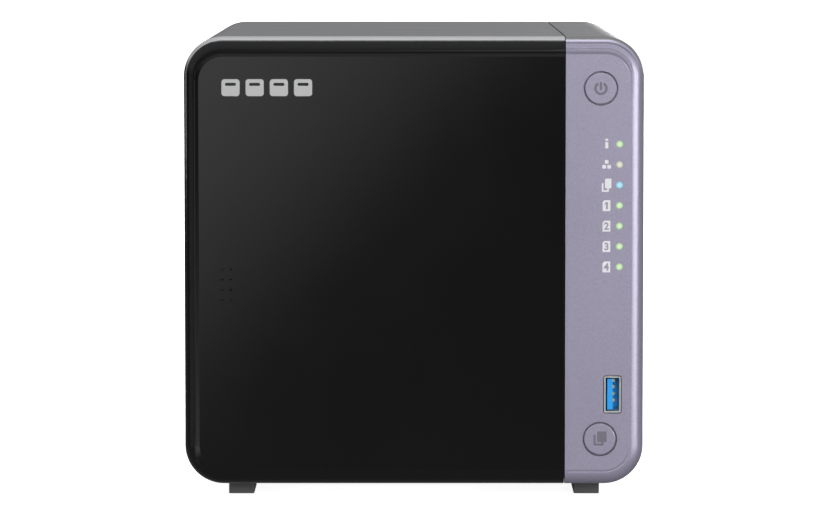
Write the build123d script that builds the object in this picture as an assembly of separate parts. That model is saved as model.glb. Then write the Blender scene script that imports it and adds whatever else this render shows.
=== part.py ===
from build123d import *
import os
from math import cos, radians, sin

os.makedirs("parts", exist_ok=True)

# Four-bay network storage box. Millimetres. +X is right seen from the front, -Y is the front,
# +Z is up, and the origin is the middle of the footprint at floor level.

# ---- driving dimensions ----
WIDTH = 168.0
HEIGHT = 170.0
DEPTH = 226.0
FOOT_HEIGHT = 6.0
CORNER_R = 14.3          # outer corner radius of the case, seen from the front
WALL = 2.0               # case wall
GAP = 0.25               # shadow gap between neighbouring skins
STRIP_X = 55.25          # left edge of the control strip on the front
ROUND_DEPTH = 5.0        # the front edge rounds over from this depth
BEZEL_DEPTH = 8.0        # front to back of the two front skins
FRONT_WALL = 2.2         # thickness of the front skins
BAYS = 4
BAY_PITCH = 31.2
BAY_MID_X = -13.4
BAY_HEIGHT = 126.0
DRIVE = (26.1, 147.0, 101.6)       # 3.5 inch hard drive: thickness, length, width
DRIVE_FRONT = -96.0
FAN_SIZE = 120.0
FAN_DEPTH = 25.0
BUTTON_R = 5.8
BUTTON_HOLE_R = 6.35
BUTTON_X = 68.0
POWER_Z = 151.3
COPY_Z = 22.9
LAMP_X = 74.9
LAMP_R = 1.25
LAMP_TOP_Z = 130.95
LAMP_PITCH = 7.47
LAMPS = ("system", "network", "copy", "drive", "drive", "drive", "drive")
USB_OPEN = (6.0, 13.3)             # outer size of a USB-A shell standing on edge
USB_DEPTH = 14.0
USB_X = 72.6
USB_Z = 39.3
BOARD_X = 58.0                     # inner face of the upright main board
BOARD_T = 1.6

LEFT, RIGHT = -WIDTH / 2 - 1, WIDTH / 2 + 1     # just outside the case, for cutting it
FRONT = -DEPTH / 2
BACK = DEPTH / 2
BODY_HEIGHT = HEIGHT - FOOT_HEIGHT
MID_Z = FOOT_HEIGHT + BODY_HEIGHT / 2
BEZEL_BACK = FRONT + BEZEL_DEPTH
SKIN_BACK = FRONT + FRONT_WALL
REAR_IN, REAR_OUT = BACK - 3.2, BACK - 2.0      # rear panel, set into the case
BOARD_FACE = BOARD_X + BOARD_T
BAY_XS = [BAY_MID_X + (i - (BAYS - 1) / 2) * BAY_PITCH for i in range(BAYS)]
FRONT_BOARD_Y = (-101.0, -99.4)
FAN_Y = (REAR_IN - FAN_DEPTH, REAR_IN)
FAN_HOLES = [(BAY_MID_X + sx * 52.5, MID_Z + sz * 52.5) for sx in (-1, 1) for sz in (-1, 1)]
CORNER_SCREWS = [(-74, 19), (-74, 157), (52, 160), (52, 16), (74, 19), (74, 157)]
REAR_USB_Z = (131.0, 113.0)
ETHERNET_Z = (90.0, 70.0)
POWER_SOCKET_Z = 32.0
RESET_AT = (66.0, 149.0)
RESET_PIN_R = 1.1


# ---- small helpers ----
def slab(x0, x1, y0, y1, z0, z1):
    """A box between two opposite corners."""
    return Pos((x0 + x1) / 2, (y0 + y1) / 2, (z0 + z1) / 2) * Box(x1 - x0, y1 - y0, z1 - z0)


def prism(face, y0, y1):
    """A face drawn as X and Z, pulled along Y."""
    return extrude(Plane.XZ.offset(-y1) * face, amount=y1 - y0)


def rod_y(x, z, r, y0, y1):
    """A round bar along Y."""
    return prism(Pos(x, z) * Circle(r), y0, y1)


def rod_x(y, z, r, x0, x1):
    """A round bar along X."""
    return Pos((x0 + x1) / 2, y, z) * Rot(0, 90, 0) * Cylinder(r, x1 - x0)


def rod_z(x, y, r, z0, z1):
    """A round bar along Z."""
    return Pos(x, y, (z0 + z1) / 2) * Cylinder(r, z1 - z0)


def outline(inset, drop=0.0):
    """The case outline seen from the front, moved inwards by inset, and by drop more at the top."""
    face = RectangleRounded(WIDTH - 2 * inset, BODY_HEIGHT - 2 * inset - drop, CORNER_R - inset)
    return Pos(0, MID_Z - drop / 2) * face


def ends(shape, axis, last=True):
    """Edges of the face furthest along an axis."""
    return shape.faces().sort_by(axis)[-1 if last else 0].edges()


def save(name, *pieces):
    """Write one sub-part: a single solid, or a group of like solids."""
    shape = pieces[0] if len(pieces) == 1 else Compound(children=list(pieces))
    export_step(shape, f"parts/{name}.step")


# ---- front skins: a flat face, a hairline valley round it, and an edge that rounds over to the sides ----
# A skin is given as the inset where its edge round meets the crest, the crest's depth behind the face,
# then the valley and the flat face, each with its inset, its depth and its extra inset at the top.
STRIP_EDGE = (4.6, 0.1, 0.3)
STRIP_VALLEY = (4.85, 0.16, 1.3)
STRIP_FLAT = (5.6, 0.0, 0.9)
COVER_EDGE = (4.0, 0.16, 1.2)
COVER_VALLEY = (4.1, 0.3, 2.0)
COVER_FLAT = (5.5, 0.0, 1.7)
ROUND_STEPS = 5


def ring_at(inset, depth, drop):
    """One rounded outline of a front skin, placed at its depth."""
    return Plane.XZ.offset(-(FRONT + depth)) * outline(inset, drop)


def edge_round(edge):
    """Outlines that climb a quarter ellipse from the side wall to the crest."""
    inset, depth, drop = edge
    rings = []
    for i in range(ROUND_STEPS + 1):
        angle = radians(90 * i / ROUND_STEPS)
        turn = 1 - cos(angle)
        level = ROUND_DEPTH - (ROUND_DEPTH - depth) * sin(angle)
        rings.append(ring_at(inset * turn, level, drop * turn))
    return rings


def front_skin(edge, valley, flat):
    """A solid front: straight sides, the rounded edge, then the valley and the last rise, both straight."""
    base = prism(outline(0), FRONT + ROUND_DEPTH, FRONT + BEZEL_DEPTH)
    crest = ring_at(*edge)
    trough = ring_at(*valley)
    skin = base + loft(edge_round(edge))
    return skin - loft([trough, crest], ruled=True) + loft([trough, ring_at(*flat)], ruled=True)


strip_block = front_skin(STRIP_EDGE, STRIP_VALLEY, STRIP_FLAT)
cover_block = front_skin(COVER_EDGE, COVER_VALLEY, COVER_FLAT)


# ---- case shells ----
FOOT_X, FOOT_Y = 64.0, 80.0
FOOT_SIZE = (9.4, 24.0)
PEG_R = 2.0
VENT_SLOT = (28.0, 3.0)
VENT_ROWS, VENTS_PER_ROW = (-45.0, 0.0, 45.0), 11
VENT_PITCH = 8.0
SEAM = 0.3               # half the gap between the main cover and the right-hand cover
LAP = 1.2                # thickness of the strip behind that gap
SHELL_Y = (BEZEL_BACK + GAP, BACK)


def foot_centres():
    """Two feet near the front and two near the back, under the side walls."""
    return [(sx * FOOT_X, y) for y in (-FOOT_Y, FOOT_Y) for sx in (-1, 1)]


def bottom_vents():
    """Rows of air slots through the floor of the case."""
    slots = []
    for row_y in VENT_ROWS:
        for i in range(VENTS_PER_ROW):
            x = BAY_MID_X + (i - (VENTS_PER_ROW - 1) / 2) * VENT_PITCH
            slot = Pos(x, row_y) * SlotOverall(*VENT_SLOT, rotation=90)
            slots.append(Pos(0, 0, FOOT_HEIGHT - 1) * extrude(slot, amount=WALL + 2))
    return slots


case_bar = prism(outline(0), *SHELL_Y)
case_bar = fillet(ends(case_bar, Axis.Y, last=False), 0.3)
case_bar = fillet(ends(case_bar, Axis.Y), 1.2)
shell = case_bar - prism(outline(WALL), SHELL_Y[0] - 1, BACK + 1)
lap = prism(outline(WALL) - outline(WALL + LAP), BEZEL_BACK + 2, REAR_IN - 1)
foot_holes = [rod_z(x, y, PEG_R + 0.05, FOOT_HEIGHT - 1, FOOT_HEIGHT + 4) for x, y in foot_centres()]

case_cover = shell & slab(LEFT, STRIP_X - SEAM, FRONT, BACK, 0, HEIGHT)
case_cover += lap & slab(STRIP_X - 6, STRIP_X + 4, FRONT, BACK, 0, HEIGHT)
for cut in foot_holes + bottom_vents():
    case_cover -= cut
save("case_cover", case_cover)

side_cover = shell & slab(STRIP_X + SEAM, RIGHT, FRONT, BACK, 0, HEIGHT)
for cut in foot_holes:
    side_cover -= cut
save("side_cover", side_cover)


# ---- feet ----
def foot(x, y):
    """A rubber block with a peg pressed up through the case floor."""
    block = Pos(x, y, FOOT_HEIGHT / 2) * Box(*FOOT_SIZE, FOOT_HEIGHT)
    block = fillet(block.edges().filter_by(Axis.Z), 0.4)
    block = chamfer(ends(block, Axis.Z, last=False), 0.2)
    return block + rod_z(x, y, PEG_R, FOOT_HEIGHT, FOOT_HEIGHT + 2.6)


for name, (x, y) in zip(("front_left", "front_right", "rear_left", "rear_right"), foot_centres()):
    save(f"foot_{name}", foot(x, y))


# ---- control strip ----
def usb_window(x, z, extra):
    """Rounded opening around a USB shell, in X and Z."""
    return Pos(x, z) * RectangleRounded(USB_OPEN[0] + 2 * extra, USB_OPEN[1] + 2 * extra, 0.9)


COLLAR_R = 7.2           # collar behind each button cap
GUIDE_R = (7.6, 9.0)     # ring moulded round that collar
BOSS_R, BOSS_HOLE_R = 2.8, 1.2
BOSSES = [(61.0, 139.0), (61.0, 60.0), (77.3, 62.0), (77.3, 139.0)]
lamp_zs = [LAMP_TOP_Z - i * LAMP_PITCH for i in range(len(LAMPS))]
front_bezel = strip_block & slab(STRIP_X, RIGHT, FRONT - 1, BEZEL_BACK, 0, HEIGHT)
hollow_zone = slab(STRIP_X + 1.6, RIGHT, FRONT, 0, 0, HEIGHT)
front_bezel -= prism(outline(WALL + LAP), SKIN_BACK, FRONT + ROUND_DEPTH) & hollow_zone
front_bezel -= prism(outline(WALL), FRONT + ROUND_DEPTH - 0.1, BEZEL_BACK + 1) & hollow_zone
for z in (POWER_Z, COPY_Z):
    guide = rod_y(BUTTON_X, z, GUIDE_R[1], SKIN_BACK, SKIN_BACK + 2.6)
    guide -= rod_y(BUTTON_X, z, GUIDE_R[0], SKIN_BACK, SKIN_BACK + 2.6)
    front_bezel += guide
    front_bezel -= rod_y(BUTTON_X, z, BUTTON_HOLE_R, FRONT - 1, SKIN_BACK + 0.1)
for z in lamp_zs:
    front_bezel -= rod_y(LAMP_X, z, LAMP_R + 0.05, FRONT - 1, SKIN_BACK + 1)
front_bezel -= prism(usb_window(USB_X, USB_Z, 0.35), FRONT - 1, BEZEL_BACK)
for x, z in BOSSES:
    boss = rod_y(x, z, BOSS_R, SKIN_BACK, FRONT_BOARD_Y[0])
    boss -= rod_y(x, z, BOSS_HOLE_R, SKIN_BACK + 1, FRONT_BOARD_Y[0])
    front_bezel += boss
save("front_bezel", front_bezel)


# ---- removable front cover, with its sound holes and magnets ----
COVER_BACK = FRONT + 6.2
MAGNETS = [(x, z) for x in (-64.0, 38.0) for z in (17.0, 159.0)]
MAGNET_R, MAGNET_T = 4.0, 2.5
COVER_X1 = STRIP_X - SEAM
SOUND_HOLE_R, SOUND_HOLE_DEPTH = 0.85, 0.8
SOUND_BORE_R = 0.35      # fine bore from each shallow hole to the inside
SOUND_HOLES = [(-70.06 + 3.17 * column, 85.15 - 3.78 * row) for column in range(2) for row in range(4)]

front_cover = cover_block & slab(LEFT, COVER_X1, FRONT - 1, BEZEL_BACK, 0, HEIGHT)
front_cover -= prism(outline(4.2), FRONT + 2, COVER_BACK) & slab(LEFT, COVER_X1 - 1.8, FRONT, 0, 0, HEIGHT)
front_cover -= prism(outline(WALL), COVER_BACK, BEZEL_BACK + 1)
for x, z in MAGNETS:
    front_cover += rod_y(x, z, MAGNET_R + 1.2, FRONT + 1.9, COVER_BACK)
    front_cover -= rod_y(x, z, MAGNET_R, COVER_BACK - MAGNET_T, COVER_BACK)
for x, z in SOUND_HOLES:
    front_cover -= rod_y(x, z, SOUND_HOLE_R, FRONT - 1, FRONT + SOUND_HOLE_DEPTH)
    front_cover -= rod_y(x, z, SOUND_BORE_R, FRONT, FRONT + 3)
save("front_cover", front_cover)
save("cover_magnets", *[rod_y(x, z, MAGNET_R, COVER_BACK - MAGNET_T, COVER_BACK) for x, z in MAGNETS])

# ---- inner front frame with the bay opening ----
FRAME_Y = (COVER_BACK + 0.5, COVER_BACK + 3.5)
CATCH_R, CATCH_T = 4.6, 0.8
bay_half = BAYS * BAY_PITCH / 2 + 0.6
bay_z = (MID_Z - BAY_HEIGHT / 2 - 0.6, MID_Z + BAY_HEIGHT / 2 + 0.6)
frame_step = SHELL_Y[0] + 0.1
bay_frame = prism(outline(WALL + 0.4), FRAME_Y[0], frame_step) + prism(outline(WALL), frame_step, FRAME_Y[1])
bay_frame &= slab(LEFT, STRIP_X - 0.6, FRONT, 0, 0, HEIGHT)
bay_frame -= slab(BAY_MID_X - bay_half, BAY_MID_X + bay_half, FRONT, 0, *bay_z)
catches = [rod_y(x, z, CATCH_R, FRAME_Y[0], FRAME_Y[0] + CATCH_T) for x, z in MAGNETS]
for catch in catches:
    bay_frame -= catch
save("bay_frame", bay_frame)
save("catch_plates", *catches)

# ---- drive cage and its carrier ----
CAGE_Y = (FRAME_Y[1] + 1.8, 54.0)
CAGE_T = 1.2
RAIL_Y = (-96.0, 52.0)
RAIL_FLANGE = 12.0
GUIDE_HEIGHT = 9.0       # guide fins between neighbouring trays
CAGE_WINDOW = (20.0, 22.0, 3.0)
RAIL_Z = (MID_Z - 57.3, MID_Z + 57.3)           # underside and top of the tray rails
cage_x = (BAY_MID_X - 64.2, BAY_MID_X + 64.2)
cage_z = (RAIL_Z[0] - 0.5 - CAGE_T, RAIL_Z[1] + 0.5 + CAGE_T)
drive_cage = slab(*cage_x, *CAGE_Y, *cage_z)
drive_cage -= slab(cage_x[0] + CAGE_T, cage_x[1] - CAGE_T, CAGE_Y[0] - 1, CAGE_Y[1] + 1,
                   cage_z[0] + CAGE_T, cage_z[1] - CAGE_T)
for x in (cage_x[0], cage_x[1] - CAGE_T):
    drive_cage += slab(x, x + CAGE_T, FRAME_Y[1], CAGE_Y[0], *cage_z)
for i in range(1, BAYS):
    x = BAY_MID_X + (i - BAYS / 2) * BAY_PITCH
    drive_cage += slab(x - 0.5, x + 0.5, *CAGE_Y, cage_z[0] + 0.5, cage_z[0] + GUIDE_HEIGHT)
    drive_cage += slab(x - 0.5, x + 0.5, *CAGE_Y, cage_z[1] - GUIDE_HEIGHT, cage_z[1] - 0.5)
for i in range(5):
    for z in (MID_Z - 34, MID_Z, MID_Z + 34):
        window = Pos(-84 + 29 * i + 0.5, 0) * RectangleRounded(*CAGE_WINDOW)
        drive_cage -= Pos(0, 0, z) * Rot(90, 0, 90) * Pos(0, 0, -90) * extrude(window, amount=180)
save("drive_cage", drive_cage)


def cage_rail(x, side):
    """Folded Z rail between the case floor and the cage: foot flange, web and top flange."""
    z0, z1 = FOOT_HEIGHT + WALL, cage_z[0]
    outer, inner = sorted((x, x - side * RAIL_FLANGE)), sorted((x, x + side * RAIL_FLANGE))
    rail = slab(x - CAGE_T / 2, x + CAGE_T / 2, *RAIL_Y, z0, z1)
    rail += slab(*outer, *RAIL_Y, z0, z0 + CAGE_T)
    return rail + slab(*inner, *RAIL_Y, z1 - CAGE_T, z1)


save("base_frame", cage_rail(-60.5, -1), cage_rail(34.0, 1))

# ---- drive trays, handles and drives ----
TRAY_Y = (FRAME_Y[0] + 0.1, FRAME_Y[1] + 1.6)
PIVOT_Y, PIVOT_Z = TRAY_Y[0] - 2.1, MID_Z - 53.0
TRAY_HALF = 15.2
HANDLE_W = 25.4
HANDLE_Y = (TRAY_Y[0] - 3.9, TRAY_Y[0] - 0.3)
PIN_R = 1.0
HANDLE_TOP = MID_Z + 56.0
FINGER_Z = MID_Z + 40.0


def tray(x):
    """Front plate with two ears, two rails that run in the cage, and a slotted side web."""
    front = slab(x - TRAY_HALF, x + TRAY_HALF, *TRAY_Y, MID_Z - BAY_HEIGHT / 2, MID_Z + BAY_HEIGHT / 2)
    front = fillet(front.edges().filter_by(Axis.Y), 1.2)
    front -= slab(x - 9, x + 9, TRAY_Y[0] - 1, TRAY_Y[0] + 3.2, FINGER_Z - 9, FINGER_Z + 9)
    for side in (-1, 1):
        front -= slab(x + side * 14 - 0.7, x + side * 14 + 0.7, *TRAY_Y, MID_Z - 30, MID_Z + 20)
    for side in (-1, 1):
        ear_x = x + side * (HANDLE_W / 2 + 1.3)
        ear = slab(ear_x - 0.9, ear_x + 0.9, HANDLE_Y[0], TRAY_Y[0] + 0.5, PIVOT_Z - 4, PIVOT_Z + 4)
        front += ear - rod_x(PIVOT_Y, PIVOT_Z, PIN_R + 0.05, ear_x - 1, ear_x + 1)
    body = front
    for z0, z1 in ((RAIL_Z[0], MID_Z - DRIVE[2] / 2 - 0.1), (MID_Z + DRIVE[2] / 2 + 0.1, RAIL_Z[1])):
        body += slab(x - 14.2, x + 13.6, TRAY_Y[1] - 0.5, DRIVE_FRONT + DRIVE[1], z0, z1)
    web = slab(x - 14.2, x - 13.1, TRAY_Y[1] - 0.5, DRIVE_FRONT + DRIVE[1], RAIL_Z[0] + 1, RAIL_Z[1] - 1)
    for window_y in (-68.0, -22.0, 24.0):
        web -= slab(x - 16, x - 12, window_y - 17, window_y + 17, MID_Z - 38, MID_Z + 38)
    return body + web


def handle(x):
    """A lever that lies flush on the tray and swings out on two stub pins at its foot."""
    y0, y1 = HANDLE_Y
    lever = slab(x - HANDLE_W / 2, x + HANDLE_W / 2, y0, y1, PIVOT_Z, HANDLE_TOP)
    lever = fillet(ends(lever, Axis.Z).filter_by(Axis.Y), 2.5)
    lever = fillet(ends(lever, Axis.Y, last=False).filter_by(Axis.Z), 0.8)
    lever += rod_x(PIVOT_Y, PIVOT_Z, 1.78, x - HANDLE_W / 2, x + HANDLE_W / 2)
    lever += rod_x(PIVOT_Y, PIVOT_Z, PIN_R, x - HANDLE_W / 2 - 2.0, x + HANDLE_W / 2 + 2.0)
    lever -= slab(x - 8, x + 8, y0 - 1, y1 + 1, FINGER_Z - 6, FINGER_Z + 6)
    for z in range(5):
        level = MID_Z - 30 + z * 10
        lever -= slab(x - 8, x + 8, y0 - 1, y1 + 1, level - 1.5, level + 1.5)
    return lever


def hard_drive(x):
    """Cast base with a stepped lid, a spindle boss and a notch for the plug at the rear."""
    x0 = x - 12.6
    y0, y1 = DRIVE_FRONT, DRIVE_FRONT + DRIVE[1]
    z0, z1 = MID_Z - DRIVE[2] / 2, MID_Z + DRIVE[2] / 2
    base = slab(x0, x0 + DRIVE[0] - 1.0, y0, y1, z0, z1)
    base = chamfer(base.edges().filter_by(Axis.X), 2.0)
    lid = slab(x0 + DRIVE[0] - 1.0, x0 + DRIVE[0], y0 + 4, y1 - 22, z0 + 4, z1 - 4)
    lid = fillet(lid.edges().filter_by(Axis.X), 8.0)
    base += lid
    base -= rod_x(y0 + 52, MID_Z, 16, x0 + DRIVE[0] - 0.4, x0 + DRIVE[0] + 1)
    return base - slab(x0 + 2.5, x0 + 12.5, y1 - 6.5, y1 + 1, MID_Z - 24, MID_Z + 24)


def sata_socket(x):
    """Slot connector that stands into the notch of one drive."""
    x0, y1 = x - 12.6 + 3.5, DRIVE_FRONT + DRIVE[1] + 6.0
    body = slab(x0, x0 + 8, y1 - 12.0, y1, MID_Z - 21.5, MID_Z + 21.5)
    return body - slab(x0 + 3, x0 + 5, y1 - 13, y1 - 7, MID_Z - 19.5, MID_Z + 19.5)


for number, x in enumerate(BAY_XS, start=1):
    save(f"drive_tray_{number}", tray(x))
    save(f"tray_handle_{number}", handle(x))
    save(f"hard_drive_{number}", hard_drive(x))

# ---- backplane ----
PLANE_Y = (DRIVE_FRONT + DRIVE[1] + 6.0, DRIVE_FRONT + DRIVE[1] + 7.6)
backplane = slab(cage_x[0], cage_x[1] - 1, *PLANE_Y, cage_z[0], cage_z[1])
for x in BAY_XS:
    for z in (MID_Z - 40, MID_Z + 40):
        backplane -= slab(x - 10, x + 10, *PLANE_Y, z - 14, z + 14)
save("backplane", backplane)
save("sata_sockets", *[sata_socket(x) for x in BAY_XS])
LINK_Y = (CAGE_Y[1] + 0.5, CAGE_Y[1] + 8.5)
backplane_link = slab(cage_x[1] - 1, BOARD_X, *LINK_Y, MID_Z - 22, MID_Z + 22)

# ---- upright main board and what it carries ----
main_board = slab(BOARD_X, BOARD_FACE, -97, REAR_IN - 0.5, 15, 161)
board_screw_places = [(y, z) for y in (-90.0, 45.0) for z in (34.0, 142.0)]
CHIP_Y, CHIP_Z = -10.0, 118.0
CELL_Y, CELL_Z = 70.0, 128.0
BUZZER_Y, BUZZER_Z = -84.0, 118.0
FINS, FIN_PITCH = 9, 6.125
MEMORY_CHIPS = (43.5, 60.5, 77.5, 94.5)
CAPACITOR_PLACES = [(y, z) for y in (30, 42) for z in (60, 72, 84)]
FLAT_CHIPS = ((60, 94, 7), (10, 60, 9), (-12, 48, 5), (66, 52, 6))     # Y, Z and half width
for y, z in board_screw_places:
    main_board -= rod_x(y, z, 1.7, BOARD_X, BOARD_FACE)
save("main_board", main_board)
save("board_spacers", *[rod_x(y, z, 2.8, cage_x[1], BOARD_X) for y, z in board_screw_places])
board_screws = [rod_x(y, z, 2.8, BOARD_FACE, BOARD_FACE + 1.8) + rod_x(y, z, 1.5, BOARD_X, BOARD_FACE)
                for y, z in board_screw_places]

save("processor", slab(BOARD_FACE, BOARD_FACE + 1.4, CHIP_Y - 12, CHIP_Y + 12, CHIP_Z - 12, CHIP_Z + 12))
sink = slab(BOARD_FACE + 1.4, BOARD_FACE + 4.4, CHIP_Y - 26, CHIP_Y + 26, CHIP_Z - 26, CHIP_Z + 26)
for i in range(FINS):
    z = CHIP_Z + (i - (FINS - 1) / 2) * FIN_PITCH
    sink += slab(BOARD_FACE + 4.3, BOARD_FACE + 16, CHIP_Y - 26, CHIP_Y + 26, z - 0.8, z + 0.8)
save("heat_sink", sink)
memory_socket = slab(BOARD_FACE, BOARD_FACE + 5.2, -45, -37, 34, 104)
memory_socket -= slab(BOARD_FACE + 2.4, BOARD_FACE + 3.7, -46, -41, 35, 103)
save("memory_socket", memory_socket)
memory = slab(BOARD_FACE + 2.5, BOARD_FACE + 3.6, -71, -41, 35.2, 102.8)
for z in MEMORY_CHIPS:
    memory += slab(BOARD_FACE + 3.5, BOARD_FACE + 4.6, -66, -54, z - 5, z + 5)
save("memory_module", memory)
cell_holder = rod_x(CELL_Y, CELL_Z, 12.5, BOARD_FACE, BOARD_FACE + 4)
save("coin_cell_holder", cell_holder - rod_x(CELL_Y, CELL_Z, 10.2, BOARD_FACE + 1, BOARD_FACE + 5))
save("coin_cell", rod_x(CELL_Y, CELL_Z, 10.0, BOARD_FACE + 1, BOARD_FACE + 4.2))
save("capacitors", *[rod_x(y, z, 4, BOARD_FACE, BOARD_FACE + 11) for y, z in CAPACITOR_PLACES])
buzzer = rod_x(BUZZER_Y, BUZZER_Z, 6, BOARD_FACE, BOARD_FACE + 8)
save("buzzer", buzzer - rod_x(BUZZER_Y, BUZZER_Z, 1.2, BOARD_FACE + 5, BOARD_FACE + 9))
save("board_chips", *[slab(BOARD_FACE, BOARD_FACE + 1.2, y - half, y + half, z - half, z + half)
                      for y, z, half in FLAT_CHIPS])


# ---- sockets ----
def usb_shell(x, z, y0, y1):
    """Folded steel shell of a USB-A socket standing on edge."""
    outer = Pos(x, z) * RectangleRounded(*USB_OPEN, 0.5)
    hollow = Pos(x, z) * RectangleRounded(USB_OPEN[0] - 0.9, USB_OPEN[1] - 0.9, 0.3)
    return prism(outer, y0, y1) - prism(hollow, y0 - 1, y1 + 1)


def usb_tongue(x, z, y0, y1, seat):
    """Plastic tongue, one side of the shell, with the block that closes the far end."""
    tongue = slab(x - 1.85, x + 0.15, y0, y1, z - 5.6, z + 5.6)
    plug = slab(x - 2.45, x + 2.45, *seat, z - 6.1, z + 6.1)
    return tongue + plug


CONTACT_ZS = (-2.3, 0.15, 2.6, 5.05)
front_usb_y = (FRONT + 0.1, FRONT + 0.1 + USB_DEPTH)
save("front_usb_shell", usb_shell(USB_X, USB_Z, *front_usb_y))
save("front_usb_tongue", usb_tongue(USB_X, USB_Z, front_usb_y[0] + 1.0, front_usb_y[1] - 2,
                                    (front_usb_y[1] - 3, front_usb_y[1])))
save("front_usb_contacts", *[slab(USB_X + 0.15, USB_X + 0.4, front_usb_y[0] + 1.6, front_usb_y[1] - 3,
                                  USB_Z + dz - 0.55, USB_Z + dz + 0.55) for dz in CONTACT_ZS])

rear_usb_y = (REAR_OUT + 0.4 - USB_DEPTH, REAR_OUT + 0.4)
rear_usb_x = BOARD_FACE + USB_OPEN[0] / 2
save("rear_usb_shells", *[usb_shell(rear_usb_x, z, *rear_usb_y) for z in REAR_USB_Z])
save("rear_usb_tongues", *[usb_tongue(rear_usb_x, z, rear_usb_y[0] + 2, rear_usb_y[1] - 1.0,
                                      (rear_usb_y[0], rear_usb_y[0] + 3)) for z in REAR_USB_Z])

ETHERNET_X = (BOARD_FACE, BOARD_FACE + 13.4)
ETHERNET_WELL = (14.0, 11.8)       # depth and height of the plug well
ethernet_y = (REAR_OUT + 0.4 - 21.0, REAR_OUT + 0.4)


def ethernet_socket(z):
    """Shielded network socket with its plug well and latch notch."""
    x0 = ETHERNET_X[0]
    well_y = (ethernet_y[1] - ETHERNET_WELL[0], ethernet_y[1] + 1)
    body = slab(*ETHERNET_X, *ethernet_y, z - 8, z + 8)
    body -= slab(x0 + 3.4, x0 + 10.4, *well_y, z - ETHERNET_WELL[1] / 2, z + ETHERNET_WELL[1] / 2)
    return body - slab(x0 + 2.0, x0 + 3.6, *well_y, z - 3.1, z + 3.1)


save("ethernet_sockets", *[ethernet_socket(z) for z in ETHERNET_Z])

POWER_X = BOARD_FACE + 6.0
POWER_SLEEVE_R, POWER_BORE_R, POWER_PIN_R = 5.0, 3.2, 1.25
power_y = (REAR_OUT + 0.6 - 13.0, REAR_OUT + 0.6)
power_z = (POWER_SOCKET_Z - 7, POWER_SOCKET_Z + 7)
power_socket = slab(BOARD_FACE, BOARD_FACE + 12, power_y[0], REAR_IN - 0.2, *power_z)
power_socket += rod_y(POWER_X, POWER_SOCKET_Z, POWER_SLEEVE_R, REAR_IN - 1, power_y[1])
power_socket -= rod_y(POWER_X, POWER_SOCKET_Z, POWER_BORE_R, power_y[1] - 10, power_y[1] + 1)
power_socket += rod_y(POWER_X, POWER_SOCKET_Z, POWER_PIN_R, power_y[1] - 11, power_y[1] - 0.8)
save("power_socket", power_socket)

# ---- rear panel ----
CUT_Y = (REAR_IN - 1, REAR_OUT + 1)             # every hole in the panel is cut over this length
GRILLE_RINGS, GRILLE_PITCH = 6, 7.4
GRILLE_R0, GRILLE_SLOT = 14.0, 4.6
GRILLE_BAR = 3.2
LOCK_AT, LOCK_SLOT = (-74.0, 40.0), (7.0, 3.0)
SIDE_VENT_ZS = (44.0, 47.8, 51.6, 55.4, 59.2)
SIDE_VENT_X, SIDE_VENT_SLOT = 68.0, (16.0, 2.0)
PANEL_HOLE_R = 1.7

grille = Circle(GRILLE_R0 + GRILLE_SLOT) - Circle(GRILLE_R0)
for ring in range(1, GRILLE_RINGS):
    r0 = GRILLE_R0 + ring * GRILLE_PITCH
    grille += Circle(r0 + GRILLE_SLOT) - Circle(r0)
for i in range(GRILLE_RINGS):
    grille -= Rot(0, 0, 15 + 30 * i) * Rectangle(130, GRILLE_BAR)
rear_panel = prism(outline(WALL + 0.15), REAR_IN, REAR_OUT)
rear_panel -= prism(Pos(BAY_MID_X, MID_Z) * grille, *CUT_Y)
for z in REAR_USB_Z:
    rear_panel -= prism(usb_window(rear_usb_x, z, 0.3), *CUT_Y)
for z in ETHERNET_Z:
    rear_panel -= slab(ETHERNET_X[0] - 0.3, ETHERNET_X[1] + 0.3, *CUT_Y, z - 8.3, z + 8.3)
rear_panel -= rod_y(POWER_X, POWER_SOCKET_Z, POWER_SLEEVE_R + 0.2, *CUT_Y)
rear_panel -= rod_y(*RESET_AT, RESET_PIN_R + 0.3, *CUT_Y)
rear_panel -= prism(Pos(*LOCK_AT) * SlotOverall(*LOCK_SLOT, rotation=90), *CUT_Y)
for z in SIDE_VENT_ZS:
    rear_panel -= prism(Pos(SIDE_VENT_X, z) * SlotOverall(*SIDE_VENT_SLOT), *CUT_Y)
for x, z in CORNER_SCREWS + FAN_HOLES:
    rear_panel -= rod_y(x, z, PANEL_HOLE_R, *CUT_Y)
save("rear_panel", rear_panel)
SCREW_HEAD_R, SCREW_R = 2.9, 1.5


def panel_screw(x, z, shank):
    """Pan head screw with a cross recess, driven in from behind."""
    head = fillet(ends(rod_y(x, z, SCREW_HEAD_R, REAR_OUT, REAR_OUT + 1.7), Axis.Y), 0.7)
    for across, up in ((1.6, 0.35), (0.35, 1.6)):
        head -= slab(x - across, x + across, REAR_OUT + 0.8, REAR_OUT + 2, z - up, z + up)
    return head + rod_y(x, z, SCREW_R, REAR_OUT - shank, REAR_OUT)


rear_screws = [panel_screw(x, z, 6.0) for x, z in CORNER_SCREWS]
save("rear_screws", *rear_screws, *[panel_screw(x, z, 9.0) for x, z in FAN_HOLES])

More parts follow.
